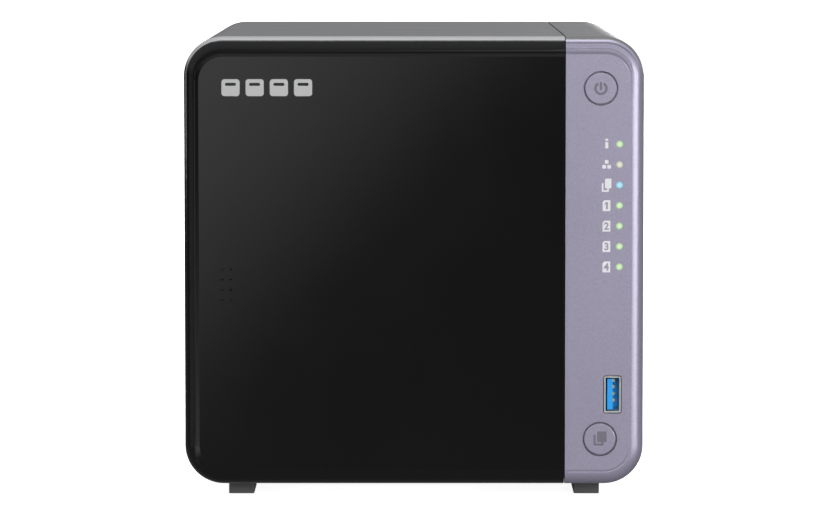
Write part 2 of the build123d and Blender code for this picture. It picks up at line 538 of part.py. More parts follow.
# ---- fan ----
DUCT_R, HUB_R, ROTOR_HUB_R = 57.5, 19.5, 20.0
ARM_T = 3.5
SHAFT_R = 2.0
fan_frame = prism(Pos(BAY_MID_X, MID_Z) * RectangleRounded(FAN_SIZE, FAN_SIZE, 6), *FAN_Y)
fan_frame -= rod_y(BAY_MID_X, MID_Z, DUCT_R, FAN_Y[0] - 1, FAN_Y[1] + 1)
hub = rod_y(BAY_MID_X, MID_Z, HUB_R, FAN_Y[1] - ARM_T, FAN_Y[1])
for angle in (45, 135, 225, 315):
    arm = Pos(BAY_MID_X, MID_Z) * Rot(0, 0, angle) * Pos(38.5, 0) * Rectangle(41, 4)
    hub += prism(arm, FAN_Y[1] - ARM_T, FAN_Y[1])
fan_frame += hub & rod_y(BAY_MID_X, MID_Z, DUCT_R + 1, *FAN_Y)
for x, z in FAN_HOLES:
    fan_frame -= rod_y(x, z, SCREW_R, FAN_Y[0] - 1, FAN_Y[1] + 1)
fan_frame += rod_y(BAY_MID_X, MID_Z, SHAFT_R, FAN_Y[0] + 6, FAN_Y[1] - 3)
save("fan_frame", fan_frame)

ROTOR_Y = (FAN_Y[0] + 2.0, FAN_Y[1] - 4.3)
BLADES, BLADE_TIP_R = 9, 55.8
BLADE = (44.0, 1.8, 25.0)          # length, thickness and chord
BLADE_PITCH = 38.0
fan_rotor = rod_y(BAY_MID_X, MID_Z, ROTOR_HUB_R, *ROTOR_Y)
fan_rotor = fillet(ends(fan_rotor, Axis.Y, last=False), 2.0)
fan_rotor -= rod_y(BAY_MID_X, MID_Z, ROTOR_HUB_R - 2, ROTOR_Y[0] + 2.5, ROTOR_Y[1] + 1)
fan_rotor += rod_y(BAY_MID_X, MID_Z, 2 * SHAFT_R, ROTOR_Y[0] + 2, ROTOR_Y[1] - 1)
fan_rotor -= rod_y(BAY_MID_X, MID_Z, SHAFT_R + 0.05, FAN_Y[0] + 5.95, FAN_Y[1])
sweep_zone = rod_y(0, 0, BLADE_TIP_R, ROTOR_Y[0] + 0.3, ROTOR_Y[1] - 0.3)
sweep_zone -= rod_y(0, 0, ROTOR_HUB_R - 0.8, ROTOR_Y[0] - 2, ROTOR_Y[1] + 2)
blade_mid = (ROTOR_Y[0] + ROTOR_Y[1]) / 2
for i in range(BLADES):
    blade = Pos(37.5, 0, 0) * Rot(BLADE_PITCH, 0, 0) * Box(*BLADE)
    blade = Pos(0, blade_mid, 0) * Rot(0, i * 360 / BLADES, 0) * blade
    fan_rotor += Pos(BAY_MID_X, 0, MID_Z) * (blade & sweep_zone)
save("fan_rotor", fan_rotor)

# ---- front board, buttons, switches and lamps ----
front_board = slab(STRIP_X + 3.5, 80.5, *FRONT_BOARD_Y, 17.5, 158.5)
front_board -= slab(USB_X - 3.4, 81, *FRONT_BOARD_Y, USB_Z - 7.2, USB_Z + 7.2)
for x, z in BOSSES:
    front_board -= rod_y(x, z, 1.3, *FRONT_BOARD_Y)
save("front_board", front_board)
board_header = slab(BOARD_FACE, BOARD_FACE + 5.4, FRONT_BOARD_Y[1], FRONT_BOARD_Y[1] + 8, 84, 110)
save("board_links", board_header, backplane_link)
bezel_screws = [rod_y(x, z, 2.6, FRONT_BOARD_Y[1], FRONT_BOARD_Y[1] + 1.6)
                + rod_y(x, z, BOSS_HOLE_R - 0.05, FRONT_BOARD_Y[0] - 4, FRONT_BOARD_Y[1]) for x, z in BOSSES]
save("inner_screws", *board_screws, *bezel_screws)
STEM_R, STEM_END = 2.0, -106.3


def button(z):
    """Flush round cap, a wider collar behind the skin, and a stem that reaches the switch."""
    cap = rod_y(BUTTON_X, z, BUTTON_R, FRONT + 0.05, SKIN_BACK + 0.3)
    cap = fillet(ends(cap, Axis.Y, last=False), 0.35)
    cap += rod_y(BUTTON_X, z, COLLAR_R, SKIN_BACK + 0.2, SKIN_BACK + 1.3)
    return cap + rod_y(BUTTON_X, z, STEM_R, SKIN_BACK + 1.2, STEM_END)


save("power_button", button(POWER_Z))
save("copy_button", button(COPY_Z))
switches = []
for z in (POWER_Z, COPY_Z):
    body = slab(BUTTON_X - 3, BUTTON_X + 3, FRONT_BOARD_Y[0] - 3.4, FRONT_BOARD_Y[0], z - 3, z + 3)
    switches.append(body + rod_y(BUTTON_X, z, 1.6, FRONT_BOARD_Y[0] - 4.2, FRONT_BOARD_Y[0] - 3))
reset_x, reset_z = RESET_AT
switches.append(slab(BOARD_FACE, BOARD_FACE + 9, 95.0, 101.0, reset_z - 3, reset_z + 3))
save("switches", *switches)
reset_button = rod_y(reset_x, reset_z, RESET_PIN_R, 101.8, REAR_OUT - 0.2)
save("reset_button", reset_button + rod_y(reset_x, reset_z, 1.9, 103.5, 105))


def lamp(z):
    """Light pipe: a lens in the skin and a stepped rod back to the board."""
    lens = rod_y(LAMP_X, z, LAMP_R, FRONT + 0.02, FRONT_BOARD_Y[0] - 0.4)
    lens = fillet(ends(lens, Axis.Y, last=False), 0.3)
    return lens + rod_y(LAMP_X, z, 1.9, SKIN_BACK, SKIN_BACK + 1.2)


for kind in ("system", "network", "copy", "drive"):
    save(f"{kind}_lamp", *[lamp(z) for z, name in zip(lamp_zs, LAMPS) if name == kind])
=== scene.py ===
import math
import bpy
from mathutils import Matrix, Vector


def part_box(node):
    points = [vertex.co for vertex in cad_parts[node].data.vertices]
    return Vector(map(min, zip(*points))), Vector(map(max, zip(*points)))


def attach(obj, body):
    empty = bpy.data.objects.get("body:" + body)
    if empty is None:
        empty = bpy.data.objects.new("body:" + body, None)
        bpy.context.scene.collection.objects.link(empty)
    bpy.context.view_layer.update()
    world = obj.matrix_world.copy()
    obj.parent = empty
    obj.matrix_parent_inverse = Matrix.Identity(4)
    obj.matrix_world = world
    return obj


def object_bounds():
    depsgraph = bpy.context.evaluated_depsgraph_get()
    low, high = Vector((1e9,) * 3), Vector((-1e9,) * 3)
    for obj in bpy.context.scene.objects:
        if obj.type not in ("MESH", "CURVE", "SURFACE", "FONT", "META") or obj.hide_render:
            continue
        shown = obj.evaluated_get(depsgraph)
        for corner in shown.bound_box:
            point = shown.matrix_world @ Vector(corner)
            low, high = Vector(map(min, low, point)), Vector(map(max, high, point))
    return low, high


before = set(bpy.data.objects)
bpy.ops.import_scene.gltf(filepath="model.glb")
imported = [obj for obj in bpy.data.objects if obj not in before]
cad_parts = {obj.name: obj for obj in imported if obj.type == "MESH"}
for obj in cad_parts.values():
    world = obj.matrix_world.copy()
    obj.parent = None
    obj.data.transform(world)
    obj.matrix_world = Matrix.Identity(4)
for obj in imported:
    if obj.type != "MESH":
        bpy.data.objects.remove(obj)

cad_low, cad_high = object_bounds()
MM = 0.001
FACE_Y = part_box("front_cover")[0][1]

# ---------------------------------------------------------------------------------------------
# Camera and studio. A long lens a metre and a half in front, a little above the roof, looks
# slightly down. The floor is a wide pale sheet. The light comes from soft boxes and a broad sun,
# with one glowing card that only reflections see.
# ---------------------------------------------------------------------------------------------
LENS_MM = 186.6
CAMERA_TILT = math.radians(4.589)
CAMERA_AT = Vector((0.0, FACE_Y - 1.561, 0.2145))

camera_data = bpy.data.cameras.new("studio_camera")
camera_data.lens = LENS_MM
camera_data.sensor_width = 36.0
camera = bpy.data.objects.new("studio_camera", camera_data)
camera.location = CAMERA_AT
camera.rotation_euler = (math.radians(90.0) - CAMERA_TILT, 0.0, 0.0)
bpy.context.collection.objects.link(camera)
bpy.context.scene.camera = camera
bpy.context.scene.view_settings.view_transform = "Standard"


def soft_box(name, at, aim, size, power):
    """A rectangular soft box at one point, facing another."""
    lamp = bpy.data.lights.new(name, "AREA")
    lamp.shape = "RECTANGLE"
    lamp.size, lamp.size_y = size
    lamp.energy = power
    holder = bpy.data.objects.new(name, lamp)
    turn = (Vector(aim) - Vector(at)).to_track_quat("-Z", "Y").to_matrix().to_4x4()
    holder.matrix_world = Matrix.Translation(at) @ turn
    bpy.context.collection.objects.link(holder)
    return holder


front_fill = soft_box("front_fill", (0.35, -2.1, 0.5), (0.0, -0.1, 0.08), (1.0, 0.7), 30.0)
front_fill.visible_glossy = False
right_box = soft_box("right_box", (1.04, -1.26, 0.15), (0.07, -0.11, 0.09), (1.2, 0.55), 13.5)
right_box.visible_diffuse = False
top_box = soft_box("top_box", (0.0, 0.0, 2.1), (0.0, 0.0, 0.0), (1.4, 0.75), 9.0)
top_box.visible_diffuse = False
left_box = soft_box("left_box", (-1.1, -1.1, 0.2), (-0.07, -0.11, 0.09), (1.3, 0.8), 0.7)
left_box.visible_diffuse = False
soft_box("left_edge_box", (-1.5, 0.55, 0.5), (-0.08, 0.0, 0.09), (0.5, 1.0), 2.5)
soft_box("back_box", (1.1, 2.6, 0.55), (0.0, 0.0, 0.17), (1.6, 0.8), 24.0)

overhead = bpy.data.lights.new("overhead_light", "SUN")
overhead.energy = 2.4
overhead.angle = math.radians(70.0)
overhead_holder = bpy.data.objects.new("overhead_light", overhead)
overhead_holder.visible_glossy = False
overhead_holder.rotation_euler = (math.radians(-8.0), math.radians(5.0), 0.0)
bpy.context.collection.objects.link(overhead_holder)

world = bpy.data.worlds.new("studio_world")
bpy.context.scene.world = world
world.use_nodes = True
sky_nodes, sky_links = world.node_tree.nodes, world.node_tree.links
sky_nodes.clear()
sky_out = sky_nodes.new("ShaderNodeOutputWorld")
sky_mix = sky_nodes.new("ShaderNodeMixShader")
heading = sky_nodes.new("ShaderNodeTexCoord")
upward = sky_nodes.new("ShaderNodeSeparateXYZ")
sky_links.new(heading.outputs["Generated"], upward.inputs[0])
slope = sky_nodes.new("ShaderNodeMapRange")
slope.inputs["From Min"].default_value = -1.0
sky_links.new(upward.outputs["Z"], slope.inputs["Value"])
dome = sky_nodes.new("ShaderNodeValToRGB")
dome.color_ramp.elements[0].position = 0.4
dome.color_ramp.elements[0].color = (0.18, 0.18, 0.185, 1.0)
dome.color_ramp.elements[1].position = 0.85
dome.color_ramp.elements[1].color = (0.5, 0.51, 0.53, 1.0)
for stop, level in ((0.5, 0.035), (0.54, 0.035), (0.66, 0.4)):
    dome.color_ramp.elements.new(stop).color = (level, level, level, 1.0)
sky_links.new(slope.outputs["Result"], dome.inputs["Fac"])
room = sky_nodes.new("ShaderNodeBackground")
sky_links.new(dome.outputs["Color"], room.inputs["Color"])
paper = sky_nodes.new("ShaderNodeBackground")
paper.inputs["Color"].default_value = (1.0, 1.0, 1.0, 1.0)
seen = sky_nodes.new("ShaderNodeLightPath")
sky_links.new(seen.outputs["Is Camera Ray"], sky_mix.inputs["Fac"])
sky_links.new(room.outputs["Background"], sky_mix.inputs[1])
sky_links.new(paper.outputs["Background"], sky_mix.inputs[2])
sky_links.new(sky_mix.outputs["Shader"], sky_out.inputs["Surface"])


def only_for(sheet, camera_rays=False, glossy=False):
    """Which kinds of ray see a studio sheet."""
    sheet.visible_camera = camera_rays
    sheet.visible_glossy = glossy
    sheet.visible_diffuse = False
    sheet.visible_shadow = False
    sheet.visible_transmission = False


def upright_card(name, y, edge_from, edge_to, reach, stops):
    """A glowing upright card that only reflections see. It starts at an edge given in X and Z, reaches
    away to the left of it, and its brightness runs through the stops: share of the reach, level."""
    start, end = Vector(edge_from), Vector(edge_to)
    along = (end - start).normalized()
    away = Vector((-along.y, along.x))
    first, last = start - along * 2.0, end + along * 2.0
    corners = [first, last, last + away * reach, first + away * reach]
    mesh = bpy.data.meshes.new(name)
    mesh.from_pydata([(c.x, y, c.y) for c in corners], [], [(0, 1, 2, 3)])
    card = bpy.data.objects.new(name, mesh)
    bpy.context.collection.objects.link(card)
    paint = bpy.data.materials.new(name)
    paint.use_nodes = True
    nodes, links = paint.node_tree.nodes, paint.node_tree.links
    nodes.clear()
    place = nodes.new("ShaderNodeTexCoord")
    dot = nodes.new("ShaderNodeVectorMath")
    dot.operation = "DOT_PRODUCT"
    dot.inputs[1].default_value = (away.x / reach, 0.0, away.y / reach)
    offset = nodes.new("ShaderNodeVectorMath")
    offset.operation = "SUBTRACT"
    offset.inputs[1].default_value = (start.x, y, start.y)
    links.new(place.outputs["Object"], offset.inputs[0])
    links.new(offset.outputs[0], dot.inputs[0])
    ramp = nodes.new("ShaderNodeValToRGB")
    elements = ramp.color_ramp.elements
    elements[0].position, elements[1].position = stops[0][0], stops[-1][0]
    for stop, _ in stops[1:-1]:
        elements.new(stop)
    for element, (stop, level) in zip(elements, stops):
        element.color = (level, level, level, 1.0)
    links.new(dot.outputs["Value"], ramp.inputs["Fac"])
    light = nodes.new("ShaderNodeEmission")
    links.new(ramp.outputs["Color"], light.inputs["Color"])
    out = nodes.new("ShaderNodeOutputMaterial")
    links.new(light.outputs["Emission"], out.inputs["Surface"])
    mesh.materials.append(paint)
    only_for(card, glossy=True)


upright_card("sheen_card", CAMERA_AT.y - 0.94, (-0.198, -0.2655), (0.1197, 0.078), 0.5,
             ((0.0, 0.0), (0.14, 0.46), (0.54, 1.3), (0.8, 0.3), (1.0, 0.2)))

FLOOR_HALF = 40.0
FLOOR_Z = cad_low[2] - 0.1 * MM
floor_mesh = bpy.data.meshes.new("floor_sheet")
floor_signs = ((-1, -1), (1, -1), (1, 1), (-1, 1))
floor_corners = [(sx * FLOOR_HALF, sy * FLOOR_HALF, FLOOR_Z) for sx, sy in floor_signs]
floor_mesh.from_pydata(floor_corners, [], [(0, 1, 2, 3)])
floor = bpy.data.objects.new("floor_sheet", floor_mesh)
bpy.context.collection.objects.link(floor)
only_for(floor, camera_rays=True)
floor_paint = bpy.data.materials.new("floor_paper")
floor_paint.use_nodes = True
floor_shader = floor_paint.node_tree.nodes["Principled BSDF"]
floor_shader.inputs["Base Color"].default_value = (0.92, 0.92, 0.92, 1.0)
floor_shader.inputs["Roughness"].default_value = 0.9
floor_shader.inputs["Emission Color"].default_value = (1.0, 1.0, 1.0, 1.0)
floor_shader.inputs["Emission Strength"].default_value = 0.9
floor_tree = floor_paint.node_tree
facing_down = floor_tree.nodes.new("ShaderNodeNewGeometry")
see_through = floor_tree.nodes.new("ShaderNodeBsdfTransparent")
one_sided = floor_tree.nodes.new("ShaderNodeMixShader")
floor_tree.links.new(facing_down.outputs["Backfacing"], one_sided.inputs["Fac"])
floor_tree.links.new(floor_shader.outputs["BSDF"], one_sided.inputs[1])
floor_tree.links.new(see_through.outputs["BSDF"], one_sided.inputs[2])
floor_tree.links.new(one_sided.outputs["Shader"], floor_tree.nodes["Material Output"].inputs["Surface"])
floor_mesh.materials.append(floor_paint)

# ---------------------------------------------------------------------------------------------
# Case skins. A left skin with the roof and floor, and a narrower right skin, bent from steel
# sheet and sprayed with a fine textured dark grey coat. They hook together along the roof.
# ---------------------------------------------------------------------------------------------


def node_group(name, inputs, outputs):
    """An empty shader group with value or vector sockets: name, kind, and a value for the inputs."""
    tree = bpy.data.node_groups.new(name, "ShaderNodeTree")
    for socket, kind, value in inputs:
        made = tree.interface.new_socket(socket, in_out="INPUT", socket_type=kind)
        if value is not None:
            made.default_value = value
    for socket, kind in outputs:
        tree.interface.new_socket(socket, in_out="OUTPUT", socket_type=kind)
    return tree, tree.nodes.new("NodeGroupInput"), tree.nodes.new("NodeGroupOutput")


def math_node(tree, operation, first, second):
    """One sum: each of the two terms is a socket or a number."""
    node = tree.nodes.new("ShaderNodeMath")
    node.operation = operation
    for socket, term in zip(node.inputs, (first, second)):
        if isinstance(term, (int, float)):
            socket.default_value = term
        else:
            tree.links.new(term, socket)
    return node.outputs[0]


def fed(tree, node, terms):
    """A node with its inputs filled in by name: each term is a socket or a plain value."""
    for name, term in terms.items():
        if isinstance(term, bpy.types.NodeSocket):
            tree.links.new(term, node.inputs[name])
        else:
            node.inputs[name].default_value = term
    return node


def effect(tree, group, terms):
    """One use of a shared effect, with its inputs filled in."""
    node = tree.nodes.new("ShaderNodeGroup")
    node.node_tree = group
    return fed(tree, node, terms)


def parted(tree, vector):
    """The X, Y and Z of a vector, each by its letter."""
    split = tree.nodes.new("ShaderNodeSeparateXYZ")
    tree.links.new(vector, split.inputs[0])
    return split.outputs


def span(tree, value, low, high):
    """How far a value has come from one level to another, from 0 to 1."""
    spread = tree.nodes.new("ShaderNodeMapRange")
    return fed(tree, spread, {"Value": value, "From Min": low, "From Max": high}).outputs["Result"]


def scaled_colour(tree, colour, factor):
    """A colour made lighter or darker by a factor."""
    tint = tree.nodes.new("ShaderNodeVectorMath")
    tint.operation = "SCALE"
    return fed(tree, tint, {"Vector": colour, "Scale": factor}).outputs["Vector"]


def new_material(name):
    """A new material, its node tree, its shader and its coordinates."""
    made = bpy.data.materials.new(name)
    made.use_nodes = True
    tree = made.node_tree
    return made, tree, tree.nodes["Principled BSDF"], tree.nodes.new("ShaderNodeTexCoord").outputs


MOTTLE_PER_METRE, MOTTLE_SWING = 30.0, 0.08


def grain_group():
    """Spray or spark grain: a fine peaked texture, with slow mottling over the whole panel."""
    tree, given, result = node_group(
        "surface_grain",
        [("Position", "NodeSocketVector", None), ("Grains per metre", "NodeSocketFloat", 2500.0),
         ("Contrast", "NodeSocketFloat", 0.2)],
        [("Shade", "NodeSocketFloat"), ("Height", "NodeSocketFloat"), ("Mottle", "NodeSocketFloat")])
    position = given.outputs["Position"]
    fine = fed(tree, tree.nodes.new("ShaderNodeTexNoise"),
               {"Vector": position, "Scale": given.outputs["Grains per metre"], "Detail": 3.0})
    slow = fed(tree, tree.nodes.new("ShaderNodeTexNoise"),
               {"Vector": position, "Scale": MOTTLE_PER_METRE, "Detail": 2.0})
    centred = math_node(tree, "SUBTRACT", fine.outputs["Fac"], 0.5)
    swing = math_node(tree, "MULTIPLY", centred, given.outputs["Contrast"])
    slow_centred = math_node(tree, "SUBTRACT", slow.outputs["Fac"], 0.5)
    drift = math_node(tree, "MULTIPLY", slow_centred, MOTTLE_SWING)
    shade = math_node(tree, "ADD", math_node(tree, "ADD", swing, drift), 1.0)
    fed(tree, result, {"Shade": shade, "Height": fine.outputs["Fac"], "Mottle": slow.outputs["Fac"]})
    return tree


SURFACE_GRAIN = grain_group()


def finish(name, colour, roughness, grains=2500.0, contrast=0.2, bump=0.15, metal=0.0, coat=0.0,
           coat_roughness=0.1, rough_swing=0.1, depth=0.05 * MM):
    """A material with grain in its colour, its roughness and its surface."""
    made, tree, shader, place = new_material(name)
    grain = effect(tree, SURFACE_GRAIN, {"Position": place["Object"], "Grains per metre": grains,
                                         "Contrast": contrast}).outputs
    spread = math_node(tree, "MULTIPLY", math_node(tree, "SUBTRACT", grain["Mottle"], 0.5), rough_swing)
    relief = fed(tree, tree.nodes.new("ShaderNodeBump"),
                 {"Strength": bump, "Distance": depth, "Height": grain["Height"]})
    fed(tree, shader, {"Metallic": metal, "Coat Weight": coat, "Coat Roughness": coat_roughness,
                       "Base Color": scaled_colour(tree, colour, grain["Shade"]),
                       "Roughness": math_node(tree, "ADD", spread, roughness),
                       "Normal": relief.outputs["Normal"]})
    return made


def clothe(material, *node_names):
    """Give carried-over nodes their finish."""
    for node_name in node_names:
        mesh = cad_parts[node_name].data
        mesh.materials.clear()
        mesh.materials.append(material)


case_paint = finish("case_paint", (0.115, 0.115, 0.118), 0.42, grains=2200.0, contrast=0.5, bump=0.35,
                    rough_swing=0.12, depth=0.08 * MM)
clothe(case_paint, "case_cover", "side_cover")

# ---------------------------------------------------------------------------------------------
# Front cover. One gloss black moulding that lifts off, with a soft bevel round it and eight
# sound holes. It has a printed sign of four bays in light grey, and nickel magnets at its back.
# ---------------------------------------------------------------------------------------------
RIM_SOFTNESS = 0.2 * MM
RIM_FACING_UP = (0.2, 0.45)
SLIGHT_TILT = (-0.94, -0.97)


def rim_group():
    """Where a skin's top edge turns into the roof: 1 deeper than a set depth and facing up, else 0."""
    tree, given, result = node_group(
        "top_rim", [("Position", "NodeSocketVector", None), ("Normal", "NodeSocketVector", None),
                    ("Face level", "NodeSocketFloat", 0.0), ("Depth", "NodeSocketFloat", 0.0015)],
        [("Mask", "NodeSocketFloat")])
    level = math_node(tree, "ADD", given.outputs["Face level"], given.outputs["Depth"])
    soft_end = math_node(tree, "ADD", level, RIM_SOFTNESS)
    deep = span(tree, parted(tree, given.outputs["Position"])["Y"], level, soft_end)
    upward = span(tree, parted(tree, given.outputs["Normal"])["Z"], *RIM_FACING_UP)
    tree.links.new(math_node(tree, "MULTIPLY", deep, upward), result.inputs["Mask"])
    return tree


def easing_group():
    """A skin's normal, with a slight tilt sideways turned to the front inside a span of X."""
    tree, given, result = node_group(
        "eased_normal",
        [("Normal", "NodeSocketVector", None), ("Position", "NodeSocketVector", None),
         ("From", "NodeSocketFloat", 0.0), ("To", "NodeSocketFloat", 0.0), ("Share", "NodeSocketFloat", 1.0)],
        [("Normal", "NodeSocketVector")])
    across = parted(tree, given.outputs["Position"])["X"]
    facing = parted(tree, given.outputs["Normal"])
    slight = math_node(tree, "MULTIPLY", span(tree, facing["Y"], *SLIGHT_TILT), given.outputs["Share"])
    past = math_node(tree, "GREATER_THAN", across, given.outputs["From"])
    short = math_node(tree, "LESS_THAN", across, given.outputs["To"])
    taken = math_node(tree, "MULTIPLY", math_node(tree, "MULTIPLY", past, short), slight)
    kept = math_node(tree, "SUBTRACT", 1.0, taken)
    eased = fed(tree, tree.nodes.new("ShaderNodeCombineXYZ"),
                {"X": math_node(tree, "MULTIPLY", facing["X"], kept), "Y": facing["Y"], "Z": facing["Z"]})
    unit = tree.nodes.new("ShaderNodeVectorMath")
    unit.operation = "NORMALIZE"
    tree.links.new(eased.outputs["Vector"], unit.inputs[0])
    tree.links.new(unit.outputs["Vector"], result.inputs["Normal"])
    return tree


TOP_RIM = rim_group()
EASED_NORMAL = easing_group()


def rim_mask(tree, depth):
    """The top rim's mask behind one depth, for one material."""
    place = tree.nodes.new("ShaderNodeTexCoord").outputs
    return effect(tree, TOP_RIM, {"Position": place["Object"], "Normal": place["Normal"],
                                  "Face level": FACE_Y, "Depth": depth}).outputs["Mask"]


def eased(material, left, right, share):
    """Ease the sideways tilt of a skin's shallow groove between two places across the front."""
    tree = material.node_tree
    place = tree.nodes.new("ShaderNodeTexCoord").outputs
    facing = tree.nodes.new("ShaderNodeNewGeometry").outputs["Normal"]
    bend = effect(tree, EASED_NORMAL, {"Normal": facing, "Position": place["Object"],
                                       "From": left, "To": right, "Share": share}).outputs["Normal"]
    tree.links.new(bend, tree.nodes["Bump"].inputs["Normal"])
    tree.links.new(bend, tree.nodes["Principled BSDF"].inputs["Coat Normal"])


def rimmed(material, colour, roughness, depth):
    """Carry a second paint over the upward-facing top edge of a skin, behind a set depth. On the front cover
    the second paint is a light grey that is partly the case's grey rim and partly a painted highlight.
    """
    tree = material.node_tree
    mask = rim_mask(tree, depth)
    for socket_name, kind, value in (("Base Color", "RGBA", (*colour, 1.0)),
                                     ("Roughness", "FLOAT", roughness)):
        socket = tree.nodes["Principled BSDF"].inputs[socket_name]
        blend = tree.nodes.new("ShaderNodeMix")
        blend.data_type = kind
        fed(tree, blend, {"Factor": mask, "A": socket.links[0].from_socket, "B": value})
        tree.links.new(blend.outputs["Result"], socket)


cover_low, cover_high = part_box("front_cover")
cover_gloss = finish("cover_gloss", (0.0034, 0.0034, 0.0036), 0.11, grains=1900.0, contrast=0.6, bump=0.05,
                     rough_swing=0.05, depth=0.02 * MM)
COVER_BEVEL_W = 4.2 * MM
COVER_RIM_DEPTH = 1.75 * MM
eased(cover_gloss, cover_low[0] + COVER_BEVEL_W, cad_high[0], 0.55)
# Painted highlight: the cover's upward-facing top rim gets a light grey, partly the case's grey rim and
# partly the highlight that rim catches.
rimmed(cover_gloss, (0.3, 0.3, 0.305), 0.42, COVER_RIM_DEPTH)
clothe(cover_gloss, "front_cover")

PRINT_THICK = 0.04 * MM
FACINGS = {"front": (Vector((1, 0, 0)), Vector((0, 0, 1)), Vector((0, -1, 0))),
           "back": (Vector((-1, 0, 0)), Vector((0, 0, 1)), Vector((0, 1, 0))),
           "right": (Vector((0, 1, 0)), Vector((0, 0, 1)), Vector((1, 0, 0))),
           "under": (Vector((1, 0, 0)), Vector((0, -1, 0)), Vector((0, 0, -1)))}


def rounded(cx, cz, width, height, radius, steps=6):
    """Corner points of a rounded rectangle, in X and Z."""
    points = []
    for sx, sz, start in ((1, 1, 0), (-1, 1, 90), (-1, -1, 180), (1, -1, 270)):
        mx, mz = cx + sx * (width / 2 - radius), cz + sz * (height / 2 - radius)
        for i in range(steps + 1):
            angle = math.radians(start + 90 * i / steps)
            points.append((mx + radius * math.cos(angle), mz + radius * math.sin(angle)))
    return points


def meshed(drawing):
    """The mesh of a curve or a text."""
    sketch = bpy.data.objects.new(drawing.name + "_sketch", drawing)
    bpy.context.collection.objects.link(sketch)
    mesh = bpy.data.meshes.new_from_object(sketch.evaluated_get(bpy.context.evaluated_depsgraph_get()))
    bpy.data.objects.remove(sketch)
    return mesh


def placed(name, mesh, material, body):
    """A finished mesh as a piece of one body."""
    mesh.materials.clear()
    mesh.materials.append(material)
    piece = bpy.data.objects.new(name, mesh)
    bpy.context.collection.objects.link(piece)
    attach(piece, body)


def printed(name, loops, level, material, body, thick=PRINT_THICK, facing="front"):
    """A thin printed or laid-on shape on a flat face at one level. A loop inside another is a hole."""
    across, up, out = FACINGS[facing]
    curve = bpy.data.curves.new(name, "CURVE")
    curve.dimensions = "2D"
    curve.fill_mode = "BOTH"
    curve.extrude = thick / 2
    for loop in loops:
        spline = curve.splines.new("POLY")
        spline.points.add(len(loop) - 1)
        for point, (x, z) in zip(spline.points, loop):
            point.co = (x, z, 0.0, 1.0)
        spline.use_cyclic_u = True
    mesh = meshed(curve)
    for vertex in mesh.vertices:
        u, v, lift = vertex.co
        raised = thick / 2 + lift + level * sum(out)
        vertex.co = across * u + up * v + out * raised
    placed(name, mesh, material, body)


badge_ink = finish("badge_ink", (0.48, 0.48, 0.48), 0.38, grains=6000.0, contrast=0.08, bump=0.03)
BADGE_LEFT = cover_low[0] + 13.95 * MM
BADGE_Z = cover_high[2] - 18.45 * MM
TILE_W, TILE_H, TILE_STEP, TILE_CORNER = 6.6 * MM, 6.2 * MM, 8.8 * MM, 1.1 * MM
SLOT_RISE, SLOT_INSET, SLOT_H, SLOT_CORNER = 1.2 * MM, 2.6 * MM, 1.1 * MM, 0.5 * MM
badge_loops = []
for i in range(4):
    tile_x = BADGE_LEFT + TILE_W / 2 + i * TILE_STEP
    badge_loops.append(rounded(tile_x, BADGE_Z, TILE_W, TILE_H, TILE_CORNER))
    badge_loops.append(rounded(tile_x, BADGE_Z + SLOT_RISE, TILE_W - SLOT_INSET, SLOT_H, SLOT_CORNER))
printed("bay_sign", badge_loops, FACE_Y, badge_ink, "front_cover")

# ---------------------------------------------------------------------------------------------
# Control strip. A moulding in pearl lavender grey paint, clipped and screwed to the front
# board. It is cut for the two buttons, the seven lamps and the USB socket.
# ---------------------------------------------------------------------------------------------


def darken(material, mask, share):
    """Take a share of a material's colour away where a mask is 1."""
    tree = material.node_tree
    colour = tree.nodes["Principled BSDF"].inputs["Base Color"]
    left_over = math_node(tree, "SUBTRACT", 1.0, math_node(tree, "MULTIPLY", mask, share))
    tree.links.new(scaled_colour(tree, colour.links[0].from_socket, left_over), colour)


def top_crease(material, shallow, deep, share):
    """Painted shade: a narrow darker band along a skin's upward-facing top edge, between two depths, where
    shade falls under the rim.
    """
    tree = material.node_tree
    band = math_node(tree, "SUBTRACT", rim_mask(tree, shallow), rim_mask(tree, deep))
    darken(material, band, share)


def top_valley(material, depths, levels, share):
    """Painted shade: a darker tone in the bottom of a skin's groove, coming in from one level up to another.
    It rises between the first two depths and falls between the last two."""
    tree = material.node_tree
    place = parted(tree, tree.nodes.new("ShaderNodeTexCoord").outputs["Object"])
    starts, full, ends, over = [FACE_Y + depth for depth in depths]
    near_side = span(tree, place["Y"], starts, full)
    far_side = span(tree, place["Y"], over, ends)
    bottom = math_node(tree, "MULTIPLY", near_side, far_side)
    darken(material, math_node(tree, "MULTIPLY", bottom, span(tree, place["Z"], *levels)), share)


LAVENDER = (0.34, 0.316, 0.418)
strip_paint = finish("strip_paint", LAVENDER, 0.36, grains=1900.0, contrast=0.42, bump=0.22,
                     metal=0.35, coat=0.25, coat_roughness=0.18, rough_swing=0.06)
STRIP_BEVEL_W = 4.58 * MM
STRIP_RIM_DEPTH = 1.9 * MM
SHADE_BAND_FROM, SHADE_BAND_TO = 0.66 * MM, 1.08 * MM
GROOVE_SHADE_DEPTHS = (0.08 * MM, 0.14 * MM, 0.16 * MM, 0.19 * MM)
GROOVE_SHADE_LEVELS = (cad_high[2] - 24 * MM, cad_high[2] - 9 * MM)
eased(strip_paint, 0.0, cad_high[0] - STRIP_BEVEL_W, 1.0)
rimmed(strip_paint, (0.14, 0.14, 0.145), 0.42, STRIP_RIM_DEPTH)
# Painted shade: a darker band under the strip's top rim.
top_crease(strip_paint, SHADE_BAND_FROM, SHADE_BAND_TO, 0.5)
# Painted shade: a darker groove bottom along the strip's top edge.
top_valley(strip_paint, GROOVE_SHADE_DEPTHS, GROOVE_SHADE_LEVELS, 0.34)
clothe(strip_paint, "front_bezel", "power_button", "copy_button")

